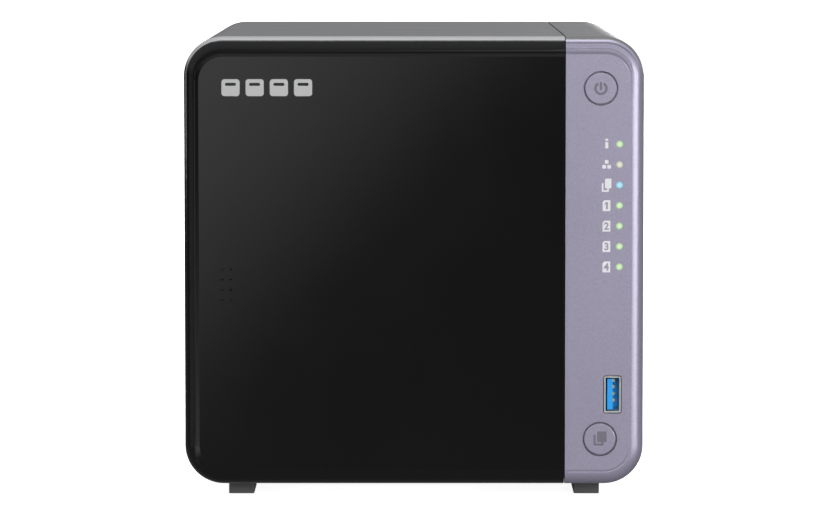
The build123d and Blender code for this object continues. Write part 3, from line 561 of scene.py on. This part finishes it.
# ---------------------------------------------------------------------------------------------
# Button signs. Darker grey ink on the two round caps: a ring open at the top with a bar on the
# power button, and two sheets one behind the other on the copy button.
# ---------------------------------------------------------------------------------------------
button_ink = finish("button_ink", (0.16, 0.15, 0.19), 0.45, grains=5000.0, contrast=0.1, bump=0.05)


def middle(node_name):
    """The middle of a node's box, seen from the front."""
    low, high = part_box(node_name)
    return (low[0] + high[0]) / 2, (low[2] + high[2]) / 2


def open_ring(cx, cz, outer, inner, opening, steps=40):
    """A ring with a gap at the top: opening is half the gap's angle."""
    start = math.pi / 2 + opening
    sweep = 2 * math.pi - 2 * opening
    angles = [start + sweep * i / steps for i in range(steps + 1)]
    outside = [(cx + outer * math.cos(a), cz + outer * math.sin(a)) for a in angles]
    inside = [(cx + inner * math.cos(a), cz + inner * math.sin(a)) for a in reversed(angles)]
    return outside + inside


def copy_sign(cx, cz, front, back, front_shift, back_shift, stroke):
    """A full sheet at the upper right, and the outline of a second sheet behind it."""
    front_x, front_z = cx + front_shift[0], cz + front_shift[1]
    back_x, back_z = cx + back_shift[0], cz + back_shift[1]
    left, right = back_x - back[0] / 2, back_x + back[0] / 2
    low, high = back_z - back[1] / 2, back_z + back[1] / 2
    meet = front_z - front[1] / 2
    corner = 0.35 * stroke
    outline = [(left, high), (left, low + corner), (left + corner, low), (right - corner, low),
               (right, low + corner), (right, meet), (right - stroke, meet), (right - stroke, low + stroke),
               (left + stroke, low + stroke), (left + stroke, high)]
    return [rounded(front_x, front_z, front[0], front[1], 0.4 * MM), outline]


RING_OUTER, RING_INNER, RING_OPENING = 2.48 * MM, 1.55 * MM, math.radians(30)
POWER_BAR_W, POWER_BAR_H, POWER_BAR_RISE, POWER_BAR_CORNER = 0.85 * MM, 3.0 * MM, 0.8 * MM, 0.25 * MM
power_x, power_z = middle("power_button")
cap_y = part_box("power_button")[0][1]
bar = rounded(power_x, power_z + POWER_BAR_RISE, POWER_BAR_W, POWER_BAR_H, POWER_BAR_CORNER)
ring = open_ring(power_x, power_z, RING_OUTER, RING_INNER, RING_OPENING)
printed("power_sign", [ring, bar], cap_y, button_ink, "power_button")
copy_x, copy_z = middle("copy_button")
sheets = copy_sign(copy_x + 0.1 * MM, copy_z + 0.2 * MM, (3.5 * MM, 4.0 * MM), (3.7 * MM, 4.0 * MM),
                   (0.68 * MM, 0.61 * MM), (-0.54 * MM, -0.61 * MM), 0.8 * MM)
printed("copy_button_sign", sheets, cap_y, button_ink, "copy_button")

# ---------------------------------------------------------------------------------------------
# Lamps. Seven clear pips on light pipes from the front board, lit green, warm white and light
# blue, brighter in the middle than at the rim. White signs are printed beside them.
# ---------------------------------------------------------------------------------------------


def radial_group():
    """How far a point of a lens is from its lamp's axis, for lamps in a column: 0 middle, 1 rim."""
    tree, given, result = node_group(
        "lamp_radius",
        [("Position", "NodeSocketVector", None), ("Axis X", "NodeSocketFloat", 0.0),
         ("First Z", "NodeSocketFloat", 0.0), ("Pitch", "NodeSocketFloat", 1.0),
         ("Radius", "NodeSocketFloat", 1.0)],
        [("Rim", "NodeSocketFloat")])
    place = parted(tree, given.outputs["Position"])
    across = math_node(tree, "SUBTRACT", place["X"], given.outputs["Axis X"])
    rise = math_node(tree, "SUBTRACT", place["Z"], given.outputs["First Z"])
    turns = math_node(tree, "DIVIDE", rise, given.outputs["Pitch"])
    nearest = math_node(tree, "ROUND", turns, 0.0)
    off = math_node(tree, "MULTIPLY", math_node(tree, "SUBTRACT", turns, nearest), given.outputs["Pitch"])
    squares = [math_node(tree, "MULTIPLY", part, part) for part in (across, off)]
    distance = math_node(tree, "POWER", math_node(tree, "ADD", *squares), 0.5)
    tree.links.new(math_node(tree, "DIVIDE", distance, given.outputs["Radius"]), result.inputs["Rim"])
    return tree


LAMP_RADIUS = radial_group()
lamp_low, lamp_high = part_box("drive_lamp")
COLLAR = 3.8 * MM
LENS_R = 1.25 * MM
GLOW_CORE = 0.35
lamp_pitch = (lamp_high[2] - lamp_low[2] - COLLAR) / 3
lamp_x = (lamp_low[0] + lamp_high[0]) / 2
last_lamp_z = lamp_low[2] + COLLAR / 2


def lamp_glow(name, middle_colour, rim_colour):
    """A lit lens: emission runs from the middle colour to the rim colour."""
    made, tree, shader, place = new_material(name)
    rim = effect(tree, LAMP_RADIUS, {"Position": place["Object"], "Axis X": lamp_x, "First Z": last_lamp_z,
                                     "Pitch": lamp_pitch, "Radius": LENS_R}).outputs["Rim"]
    ramp = fed(tree, tree.nodes.new("ShaderNodeValToRGB"), {"Fac": rim})
    stops = zip(ramp.color_ramp.elements, (GLOW_CORE, 1.0), (middle_colour, rim_colour))
    for element, position, colour in stops:
        element.position = position
        element.color = (*colour, 1.0)
    fed(tree, shader, {"Base Color": (0.12, 0.14, 0.12, 1.0), "Roughness": 0.3, "Emission Strength": 1.0,
                       "Emission Color": ramp.outputs["Color"]})
    return made


clothe(lamp_glow("lamp_green", (0.55, 0.75, 0.42), (0.3, 0.48, 0.22)), "system_lamp", "drive_lamp")
clothe(lamp_glow("lamp_white", (0.6, 0.66, 0.55), (0.42, 0.34, 0.24)), "network_lamp")
clothe(lamp_glow("lamp_blue", (0.31, 0.69, 0.84), (0.19, 0.42, 0.62)), "copy_lamp")

sign_ink = finish("sign_ink", (0.78, 0.78, 0.8), 0.42, grains=6000.0, contrast=0.06, bump=0.04)
SIGN_OFFSET = 4.72 * MM
sign_x = lamp_x - SIGN_OFFSET
lamp_levels = [last_lamp_z + lamp_pitch * i for i in range(6, -1, -1)]


def lamp_sign(name, loops):
    """A white sign beside a lamp."""
    printed(name, loops, FACE_Y, sign_ink, "enclosure")


system_z, network_z, copies_z = lamp_levels[:3]
lamp_sign("system_sign", [rounded(sign_x, system_z + 1.63 * MM, 1.1 * MM, 0.8 * MM, 0.2 * MM),
                          rounded(sign_x, system_z - 0.36 * MM, 1.1 * MM, 2.3 * MM, 0.12 * MM)])
SQUARE, SQUARE_CORNER = 1.36 * MM, 0.3 * MM
squares_at = ((0.0, 1.04 * MM), (-0.92 * MM, -0.78 * MM), (0.92 * MM, -0.78 * MM))
lamp_sign("network_sign", [rounded(sign_x + dx, network_z + dz, SQUARE, SQUARE, SQUARE_CORNER)
                           for dx, dz in squares_at])
lamp_sign("copies_sign", copy_sign(sign_x, copies_z, (2.34 * MM, 3.6 * MM), (2.6 * MM, 3.2 * MM),
                                   (0.59 * MM, 0.62 * MM), (-0.46 * MM, -0.85 * MM), 0.62 * MM))

PLATE_W, PLATE_H, PLATE_CUT = 2.85 * MM, 4.0 * MM, 0.7 * MM
DIGIT_HEIGHT, FLAGGED_ONE_HEIGHT = 2.7 * MM, 2.6 * MM
CAP_TO_SIZE = 1.38


def digit_piece(name, digit, cx, cz, height, face_y, material, body):
    """One plain bold digit, centred on a point of a face at the front."""
    text = bpy.data.curves.new(name, "FONT")
    text.body = digit
    text.size = height * CAP_TO_SIZE
    text.offset = height * 0.04
    text.resolution_u = 4
    mesh = meshed(text)
    xs = [vertex.co.x for vertex in mesh.vertices]
    zs = [vertex.co.y for vertex in mesh.vertices]
    shift_x = cx - (min(xs) + max(xs)) / 2
    shift_z = cz - (min(zs) + max(zs)) / 2
    for vertex in mesh.vertices:
        x, z, _ = vertex.co
        vertex.co = (x + shift_x, face_y - 1.6 * PRINT_THICK, z + shift_z)
    placed(name, mesh, material, body)


def flagged_one(cx, cz, height):
    """A bold figure one: a straight stem with a short slanted flag."""
    low, high = cz - height / 2, cz + height / 2
    inner, outer, tip = cx - 0.08 * height, cx + 0.2 * height, cx - 0.27 * height
    return [(inner, low), (outer, low), (outer, high), (inner, high), (tip, high - 0.2 * height),
            (tip, high - 0.42 * height), (inner, high - 0.28 * height)]


def bay_sign(number, cz):
    """A tag with one cut corner, and the bay's number in the strip's own paint on it."""
    left, right = sign_x - PLATE_W / 2, sign_x + PLATE_W / 2
    low, high = cz - PLATE_H / 2, cz + PLATE_H / 2
    tag = [(left, low), (right, low), (right, high), (left + PLATE_CUT, high), (left, high - PLATE_CUT)]
    lamp_sign(f"bay_{number}_tag", [tag])
    if number == 1:
        printed("bay_1_digit", [flagged_one(sign_x, cz, FLAGGED_ONE_HEIGHT)], FACE_Y - 0.6 * PRINT_THICK,
                strip_paint, "enclosure")
        return
    digit_piece(f"bay_{number}_digit", str(number), sign_x, cz, DIGIT_HEIGHT, FACE_Y, strip_paint,
                "enclosure")


for number, level in enumerate(lamp_levels[3:], start=1):
    bay_sign(number, level)

# ---------------------------------------------------------------------------------------------
# USB sockets. Folded nickel-plated shells with a bright blue moulded tongue and four gilded
# contacts, one in the strip and two at the back.
# ---------------------------------------------------------------------------------------------
socket_steel = finish("socket_steel", (0.74, 0.74, 0.72), 0.3, metal=0.5, contrast=0.12, bump=0.05)
usb_blue = finish("usb_blue", (0.021, 0.36, 0.87), 0.35, grains=4000.0, contrast=0.12, bump=0.08)
contact_gold = finish("contact_gold", (0.92, 0.82, 0.6), 0.25, metal=0.45, contrast=0.08, bump=0.03)
clothe(socket_steel, "front_usb_shell", "rear_usb_shells", "ethernet_sockets")
clothe(usb_blue, "front_usb_tongue", "rear_usb_tongues")
clothe(contact_gold, "front_usb_contacts")


def bent_strips(name, paths, width, thick, material, body):
    """Narrow sheet strips bent in plan. Each path is a list of X and Y points with one Z."""
    points, faces = [], []
    for path, z in paths:
        first = len(points)
        for i, (x, y) in enumerate(path):
            before, after = Vector(path[max(i - 1, 0)]), Vector(path[min(i + 1, len(path) - 1)])
            run = (after - before).normalized()
            side = Vector((-run.y, run.x)) * thick / 2
            for sx, sz in ((1, -1), (1, 1), (-1, 1), (-1, -1)):
                points.append((x + sx * side.x, y + sx * side.y, z + sz * width / 2))
        for i in range(len(path) - 1):
            ring = first + 4 * i
            for k in range(4):
                step = (k + 1) % 4
                faces.append((ring + k, ring + step, ring + 4 + step, ring + 4 + k))
        faces.append((first + 3, first + 2, first + 1, first))
        end = first + 4 * (len(path) - 1)
        faces.append((end, end + 1, end + 2, end + 3))
    mesh = bpy.data.meshes.new(name)
    mesh.from_pydata(points, [], faces)
    placed(name, mesh, material, body)


contact_low, contact_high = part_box("front_usb_contacts")
CONTACT_W = 1.1 * MM
SPRING_W, SPRING_THICK = 0.9 * MM, 0.18 * MM
SPRING_BENDS = ((0.3, -0.5), (0.62, 0.0), (0.82, 0.7), (0.8, 1.3), (0.55, 2.2), (0.28, 2.9))
contact_step = (contact_high[2] - contact_low[2] - CONTACT_W) / 3
spring = [(contact_low[0] + dx * MM, contact_low[1] + dy * MM) for dx, dy in SPRING_BENDS]
springs = [(spring, contact_low[2] + CONTACT_W / 2 + contact_step * i) for i in range(4)]
bent_strips("usb_contact_springs", springs, SPRING_W, SPRING_THICK, contact_gold, "enclosure")

# ---------------------------------------------------------------------------------------------
# Feet. Four dense rubber blocks under the side walls, two near the front and two near the back.
# Each is moulded with a peg, which is pressed into a hole in the case floor.
# ---------------------------------------------------------------------------------------------
foot_rubber = finish("foot_rubber", (0.1, 0.1, 0.101), 0.7, grains=3000.0, contrast=0.4, bump=0.3)
clothe(foot_rubber, "foot_front_left", "foot_front_right", "foot_rear_left", "foot_rear_right")

# ---------------------------------------------------------------------------------------------
# Back. A powder-coated steel panel with a ring grille, black screws, and moulded sockets. The
# fan behind it is moulded black with its rotor on one shaft.
# ---------------------------------------------------------------------------------------------
panel_coat = finish("panel_coat", (0.03, 0.03, 0.032), 0.5, grains=1800.0, contrast=0.4, bump=0.4,
                    depth=0.1 * MM)
screw_black = finish("screw_black", (0.05, 0.05, 0.055), 0.3, metal=1.0, contrast=0.2, bump=0.05)
dark_plastic = finish("dark_plastic", (0.02, 0.02, 0.021), 0.48, grains=2600.0, contrast=0.3, bump=0.3)
socket_plastic = finish("socket_plastic", (0.012, 0.012, 0.012), 0.4, grains=3000.0, contrast=0.3, bump=0.2)
clothe(panel_coat, "rear_panel")
clothe(screw_black, "rear_screws")
clothe(dark_plastic, "fan_frame", "fan_rotor", "bay_frame")
clothe(socket_plastic, "power_socket", "reset_button")

socket_low, socket_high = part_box("ethernet_sockets")
HALF_SOCKET = 8.0 * MM
network_zs = (socket_low[2] + HALF_SOCKET, socket_high[2] - HALF_SOCKET)
WIRE_PITCH, WIRE_W, WIRE_THICK = 1.1 * MM, 0.45 * MM, 0.2 * MM
WIRE_BENDS = ((10.3, -4.4), (9.9, -3.6), (9.2, -3.3), (8.6, -3.7), (6.9, -12.6))
wire_path = [(socket_low[0] + dx * MM, socket_high[1] + dy * MM) for dx, dy in WIRE_BENDS]
network_wires = [(wire_path, z + WIRE_PITCH * (i - 3.5)) for z in network_zs for i in range(8)]
bent_strips("network_contacts", network_wires, WIRE_W, WIRE_THICK, contact_gold, "enclosure")

window_green = finish("window_green", (0.1, 0.42, 0.12), 0.25, grains=4000.0, contrast=0.15, bump=0.05)
window_amber = finish("window_amber", (0.62, 0.3, 0.04), 0.25, grains=4000.0, contrast=0.15, bump=0.05)
WINDOW_W, WINDOW_H, WINDOW_CORNER, WINDOW_RISE = 1.5 * MM, 3.0 * MM, 0.3 * MM, 4.6 * MM
window_x = -(socket_low[0] + 11.9 * MM)
for tag, side, colour in (("green", 1, window_green), ("amber", -1, window_amber)):
    panes = [rounded(window_x, z + side * WINDOW_RISE, WINDOW_W, WINDOW_H, WINDOW_CORNER) for z in network_zs]
    printed(f"network_{tag}_windows", panes, socket_high[1], colour, "enclosure",
            thick=0.3 * MM, facing="back")

# ---------------------------------------------------------------------------------------------
# Back signs and labels. Light grey ink beside each socket, and blank paper labels with plain
# bars where a maker would print, on the panel and under the floor.
# ---------------------------------------------------------------------------------------------
panel_ink = finish("panel_ink", (0.5, 0.5, 0.5), 0.5, grains=5000.0, contrast=0.15, bump=0.08)
label_paper = finish("label_paper", (0.72, 0.72, 0.7), 0.55, grains=1500.0, contrast=0.06, bump=0.1)
label_ink = finish("label_ink", (0.06, 0.06, 0.065), 0.6, grains=4000.0, contrast=0.2, bump=0.05)
panel_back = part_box("rear_panel")[1][1]
SIGN_COLUMN = -54.5 * MM
PAPER_THICK = 0.1 * MM


def back_sign(name, loops):
    """A light grey sign on the rear panel."""
    printed(name, loops, panel_back, panel_ink, "enclosure", facing="back")


def disc(cx, cz, radius, steps=24):
    """Corner points of a circle."""
    return [(cx + radius * math.cos(math.tau * i / steps), cz + radius * math.sin(math.tau * i / steps))
            for i in range(steps)]


for number, z in enumerate(network_zs, start=1):
    back_sign(f"network_port_sign_{number}",
              [rounded(SIGN_COLUMN, z + 1.2 * MM, 1.7 * MM, 1.4 * MM, 0.2 * MM),
               rounded(SIGN_COLUMN - 1.3 * MM, z - 1.2 * MM, 1.7 * MM, 1.4 * MM, 0.2 * MM),
               rounded(SIGN_COLUMN + 1.3 * MM, z - 1.2 * MM, 1.7 * MM, 1.4 * MM, 0.2 * MM)])
usb_low, usb_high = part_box("rear_usb_shells")
HALF_SHELL = 6.65 * MM
for number, z in enumerate((usb_low[2] + HALF_SHELL, usb_high[2] - HALF_SHELL), start=1):
    back_sign(f"usb_port_sign_{number}",
              [rounded(SIGN_COLUMN, z, 2.4 * MM, 5.2 * MM, 0.4 * MM),
               rounded(SIGN_COLUMN, z, 1.5 * MM, 4.3 * MM, 0.2 * MM),
               rounded(SIGN_COLUMN + 0.25 * MM, z, 0.6 * MM, 3.4 * MM, 0.1 * MM)])
power_level = (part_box("power_socket")[0][2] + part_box("power_socket")[1][2]) / 2
back_sign("power_inlet_sign", [disc(SIGN_COLUMN, power_level, radius * MM) for radius in (2.3, 1.8, 0.8)])
reset_low, reset_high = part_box("reset_button")
reset_level = (reset_low[2] + reset_high[2]) / 2
back_sign("reset_sign", [open_ring(SIGN_COLUMN, reset_level, 2.0 * MM, 1.4 * MM, math.radians(35))])


def blank_label(name, cu, cv, width, height, level, facing, bars):
    """A paper label with rows of plain bars. Each bar is its left end, row and length, in shares."""
    printed(name, [rounded(cu, cv, width, height, 1.2 * MM)], level, label_paper, "enclosure",
            thick=PAPER_THICK, facing=facing)
    loops = []
    for start, row, share in bars:
        length = share * width
        loops.append(rounded(cu - width / 2 + start * width + length / 2, cv - height / 2 + row * height,
                             length, 0.09 * height, 0.02 * height))
    lifted = level + sum(FACINGS[facing][2]) * PAPER_THICK
    printed(name + "_bars", loops, lifted, label_ink, "enclosure", facing=facing)


blank_label("panel_label", 16.0 * MM, 152.5 * MM, 62.0 * MM, 9.0 * MM, panel_back, "back",
            ((0.05, 0.72, 0.34), (0.05, 0.5, 0.5), (0.05, 0.28, 0.42), (0.66, 0.5, 0.27), (0.66, 0.28, 0.2)))
floor_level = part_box("case_cover")[0][2]
blank_label("floor_label", -13.0 * MM, 82.0 * MM, 72.0 * MM, 24.0 * MM, floor_level, "under",
            ((0.05, 0.84, 0.3), (0.05, 0.68, 0.52), (0.05, 0.52, 0.44), (0.05, 0.36, 0.5), (0.05, 0.2, 0.36),
             (0.64, 0.84, 0.3), (0.64, 0.68, 0.22), (0.64, 0.36, 0.3), (0.64, 0.2, 0.3)))

# ---------------------------------------------------------------------------------------------
# Bays. A zinc-plated steel cage on a base frame holds four moulded trays, each with a lever
# handle and one cast aluminium hard drive.
# ---------------------------------------------------------------------------------------------
CRYSTALS_PER_METRE = 260.0


def spangle_group():
    """Zinc spangle: angular crystals a few millimetres wide, each with its own shade and gloss."""
    tree, given, result = node_group(
        "zinc_spangle", [("Position", "NodeSocketVector", None)],
        [("Shade", "NodeSocketFloat"), ("Gloss", "NodeSocketFloat")])
    cells = fed(tree, tree.nodes.new("ShaderNodeTexVoronoi"),
                {"Vector": given.outputs["Position"], "Scale": CRYSTALS_PER_METRE})
    pick = tree.nodes.new("ShaderNodeSeparateColor")
    tree.links.new(cells.outputs["Color"], pick.inputs[0])
    shade = math_node(tree, "ADD", math_node(tree, "MULTIPLY", pick.outputs[0], 0.32), 0.8)
    gloss = math_node(tree, "ADD", math_node(tree, "MULTIPLY", pick.outputs[1], 0.16), 0.26)
    fed(tree, result, {"Shade": shade, "Gloss": gloss})
    return tree


def brushed_group():
    """Brushed metal: long fine lines across a panel, as one value."""
    tree, given, result = node_group(
        "brushed_lines",
        [("Position", "NodeSocketVector", None), ("Stretch", "NodeSocketVector", (1.0, 1.0, 1.0))],
        [("Line", "NodeSocketFloat")])
    pull = tree.nodes.new("ShaderNodeVectorMath")
    pull.operation = "MULTIPLY"
    tree.links.new(given.outputs["Position"], pull.inputs[0])
    tree.links.new(given.outputs["Stretch"], pull.inputs[1])
    noise = fed(tree, tree.nodes.new("ShaderNodeTexNoise"),
                {"Vector": pull.outputs[0], "Scale": 1.0, "Detail": 4.0})
    tree.links.new(noise.outputs["Fac"], result.inputs["Line"])
    return tree


def spangled(name, colour):
    """Bare zinc-plated sheet."""
    made, tree, shader, place = new_material(name)
    crystals = effect(tree, ZINC_SPANGLE, {"Position": place["Object"]}).outputs
    fed(tree, shader, {"Metallic": 1.0, "Base Color": scaled_colour(tree, colour, crystals["Shade"]),
                       "Roughness": crystals["Gloss"]})
    return made


def brushed(name, colour, roughness, stretch):
    """Bare brushed metal, its lines finest along the axis with the greatest stretch."""
    made, tree, shader, place = new_material(name)
    line = effect(tree, BRUSHED_LINES, {"Position": place["Object"], "Stretch": stretch}).outputs["Line"]
    swing = math_node(tree, "SUBTRACT", line, 0.5)
    shade = math_node(tree, "ADD", math_node(tree, "MULTIPLY", swing, 0.4), 1.0)
    gloss = math_node(tree, "ADD", math_node(tree, "MULTIPLY", swing, 0.3), roughness)
    relief = fed(tree, tree.nodes.new("ShaderNodeBump"),
                 {"Strength": 0.15, "Distance": 0.03 * MM, "Height": line})
    fed(tree, shader, {"Metallic": 1.0, "Base Color": scaled_colour(tree, colour, shade),
                       "Roughness": gloss, "Normal": relief.outputs["Normal"]})
    return made


ZINC_SPANGLE = spangle_group()
BRUSHED_LINES = brushed_group()
zinc_steel = spangled("zinc_steel", (0.56, 0.57, 0.57))
drive_cast = finish("drive_cast", (0.42, 0.42, 0.43), 0.45, metal=1.0, grains=1500.0, contrast=0.2, bump=0.25)
handle_plastic = finish("handle_plastic", (0.045, 0.045, 0.05), 0.42, grains=2400.0, contrast=0.3, bump=0.3)
clothe(zinc_steel, "drive_cage", "base_frame", "catch_plates", "inner_screws")
clothe(brushed("magnet_nickel", (0.62, 0.6, 0.57), 0.25, (400.0, 400.0, 6000.0)), "cover_magnets")

LID_SCREW_R, LID_SCREW_DRIVE_R, LID_SCREW_RISE, LID_SCREW_THICK = 2.3 * MM, 0.9 * MM, 42 * MM, 0.35 * MM
DRIVE_LABEL_AT, DRIVE_LABEL_W, DRIVE_LABEL_H, DRIVE_LABEL_THICK = 92 * MM, 42 * MM, 74 * MM, 0.12 * MM
PRINT_MARGIN, PRINT_ROW, PRINT_BAR_H, PRINT_CORNER = 4 * MM, 9, 2.4 * MM, 0.4 * MM
PRINT_SHARES = (0.8, 0.5, 0.66, 0.4, 0.8, 0.72, 0.3)
LEVER_DIGIT_RISE, LEVER_DIGIT_HEIGHT = 14 * MM, 5.5 * MM


def drive_dress(number, body):
    """The lid's six screws, its paper label and the label's plain bars, on the drive's right face."""
    low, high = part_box(f"hard_drive_{number}")
    front, back = low[1], high[1]
    mid_z = (low[2] + high[2]) / 2
    screws = []
    for y in (front + 9 * MM, (front + back) / 2 - 6 * MM, back - 27 * MM):
        for side in (-1, 1):
            z = mid_z + side * LID_SCREW_RISE
            screws.append(disc(y, z, LID_SCREW_R))
            screws.append(disc(y, z, LID_SCREW_DRIVE_R, steps=6))
    printed(f"drive_{number}_lid_screws", screws, high[0], socket_steel, body,
            thick=LID_SCREW_THICK, facing="right")
    label_y = front + DRIVE_LABEL_AT
    paper = rounded(label_y, mid_z, DRIVE_LABEL_W, DRIVE_LABEL_H, 2 * MM)
    printed(f"drive_{number}_label", [paper], high[0], label_paper, body,
            thick=DRIVE_LABEL_THICK, facing="right")
    bars = []
    for row, share in enumerate(PRINT_SHARES):
        length = share * (DRIVE_LABEL_W - 2 * PRINT_MARGIN)
        z = mid_z + DRIVE_LABEL_H / 2 - (PRINT_ROW + PRINT_ROW * row) * MM
        middle_y = label_y - DRIVE_LABEL_W / 2 + PRINT_MARGIN + length / 2
        bars.append(rounded(middle_y, z, length, PRINT_BAR_H, PRINT_CORNER))
    printed(f"drive_{number}_label_bars", bars, high[0] + DRIVE_LABEL_THICK, label_ink, body,
            facing="right")


for i in range(1, 5):
    clothe(dark_plastic, f"drive_tray_{i}")
    clothe(handle_plastic, f"tray_handle_{i}")
    clothe(drive_cast, f"hard_drive_{i}")
    drive_dress(i, f"tray_{i}")
    lever_low, lever_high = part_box(f"tray_handle_{i}")
    lever_x = (lever_low[0] + lever_high[0]) / 2
    digit_piece(f"handle_{i}_digit", str(i), lever_x, lever_low[2] + LEVER_DIGIT_RISE,
                LEVER_DIGIT_HEIGHT, lever_low[1], panel_ink, f"handle_{i}")

# ---------------------------------------------------------------------------------------------
# Boards. Green solder-masked boards with tracks and tinned dots, moulded chips, and an extruded
# heat sink with brushed sides.
# ---------------------------------------------------------------------------------------------
LANES_PER_METRE, DOTS_PER_METRE, DOT_RADIUS = 90.0, 210.0, 0.16


def track_group():
    """Board tracks: a pattern of fine lines that turn at right angles, and scattered round dots."""
    tree, given, result = node_group(
        "board_tracks", [("Position", "NodeSocketVector", None)],
        [("Track", "NodeSocketFloat"), ("Dot", "NodeSocketFloat")])
    place = parted(tree, given.outputs["Position"])
    flat = fed(tree, tree.nodes.new("ShaderNodeCombineXYZ"),
               {"X": math_node(tree, "ADD", place["X"], place["Y"]), "Y": place["Z"]})
    lanes = tree.nodes.new("ShaderNodeTexBrick")
    lanes.offset = 0.37
    lanes.squash = 2.3
    lanes.squash_frequency = 3
    fed(tree, lanes, {"Vector": flat.outputs["Vector"], "Scale": LANES_PER_METRE, "Mortar Size": 0.035,
                      "Brick Width": 1.7, "Row Height": 0.17})
    cells = fed(tree, tree.nodes.new("ShaderNodeTexVoronoi"),
                {"Vector": given.outputs["Position"], "Scale": DOTS_PER_METRE})
    dots = math_node(tree, "LESS_THAN", cells.outputs["Distance"], DOT_RADIUS)
    fed(tree, result, {"Track": lanes.outputs["Fac"], "Dot": dots})
    return tree


def lacquered(name):
    """Green solder mask over copper tracks, with bare tinned dots."""
    made, tree, shader, place = new_material(name)
    tracks = effect(tree, track_group(), {"Position": place["Object"]}).outputs
    lacquer = tree.nodes.new("ShaderNodeMix")
    lacquer.data_type = "RGBA"
    fed(tree, lacquer, {"Factor": tracks["Track"], "A": (0.008, 0.075, 0.035, 1.0),
                        "B": (0.02, 0.16, 0.075, 1.0)})
    tinned = tree.nodes.new("ShaderNodeMix")
    tinned.data_type = "RGBA"
    fed(tree, tinned, {"Factor": tracks["Dot"], "A": lacquer.outputs["Result"], "B": (0.6, 0.58, 0.5, 1.0)})
    fed(tree, shader, {"Base Color": tinned.outputs["Result"], "Metallic": tracks["Dot"], "Roughness": 0.3})
    return made


clothe(lacquered("board_green"), "main_board", "backplane", "front_board", "memory_module")
chip_black = finish("chip_black", (0.015, 0.015, 0.016), 0.5, contrast=0.3, bump=0.2)
clothe(chip_black, "processor", "board_chips")
clothe(socket_plastic, "sata_sockets", "board_links", "memory_socket", "coin_cell_holder", "buzzer",
       "switches")
clothe(brushed("sink_aluminium", (0.7, 0.7, 0.71), 0.33, (3000.0, 60.0, 3000.0)), "heat_sink", "capacitors")
cell_steel = finish("cell_steel", (0.66, 0.65, 0.62), 0.22, metal=1.0, contrast=0.08, bump=0.03)
clothe(cell_steel, "coin_cell")
spacer_brass = finish("spacer_brass", (0.68, 0.5, 0.24), 0.3, metal=1.0, contrast=0.1, bump=0.05)
clothe(spacer_brass, "board_spacers")
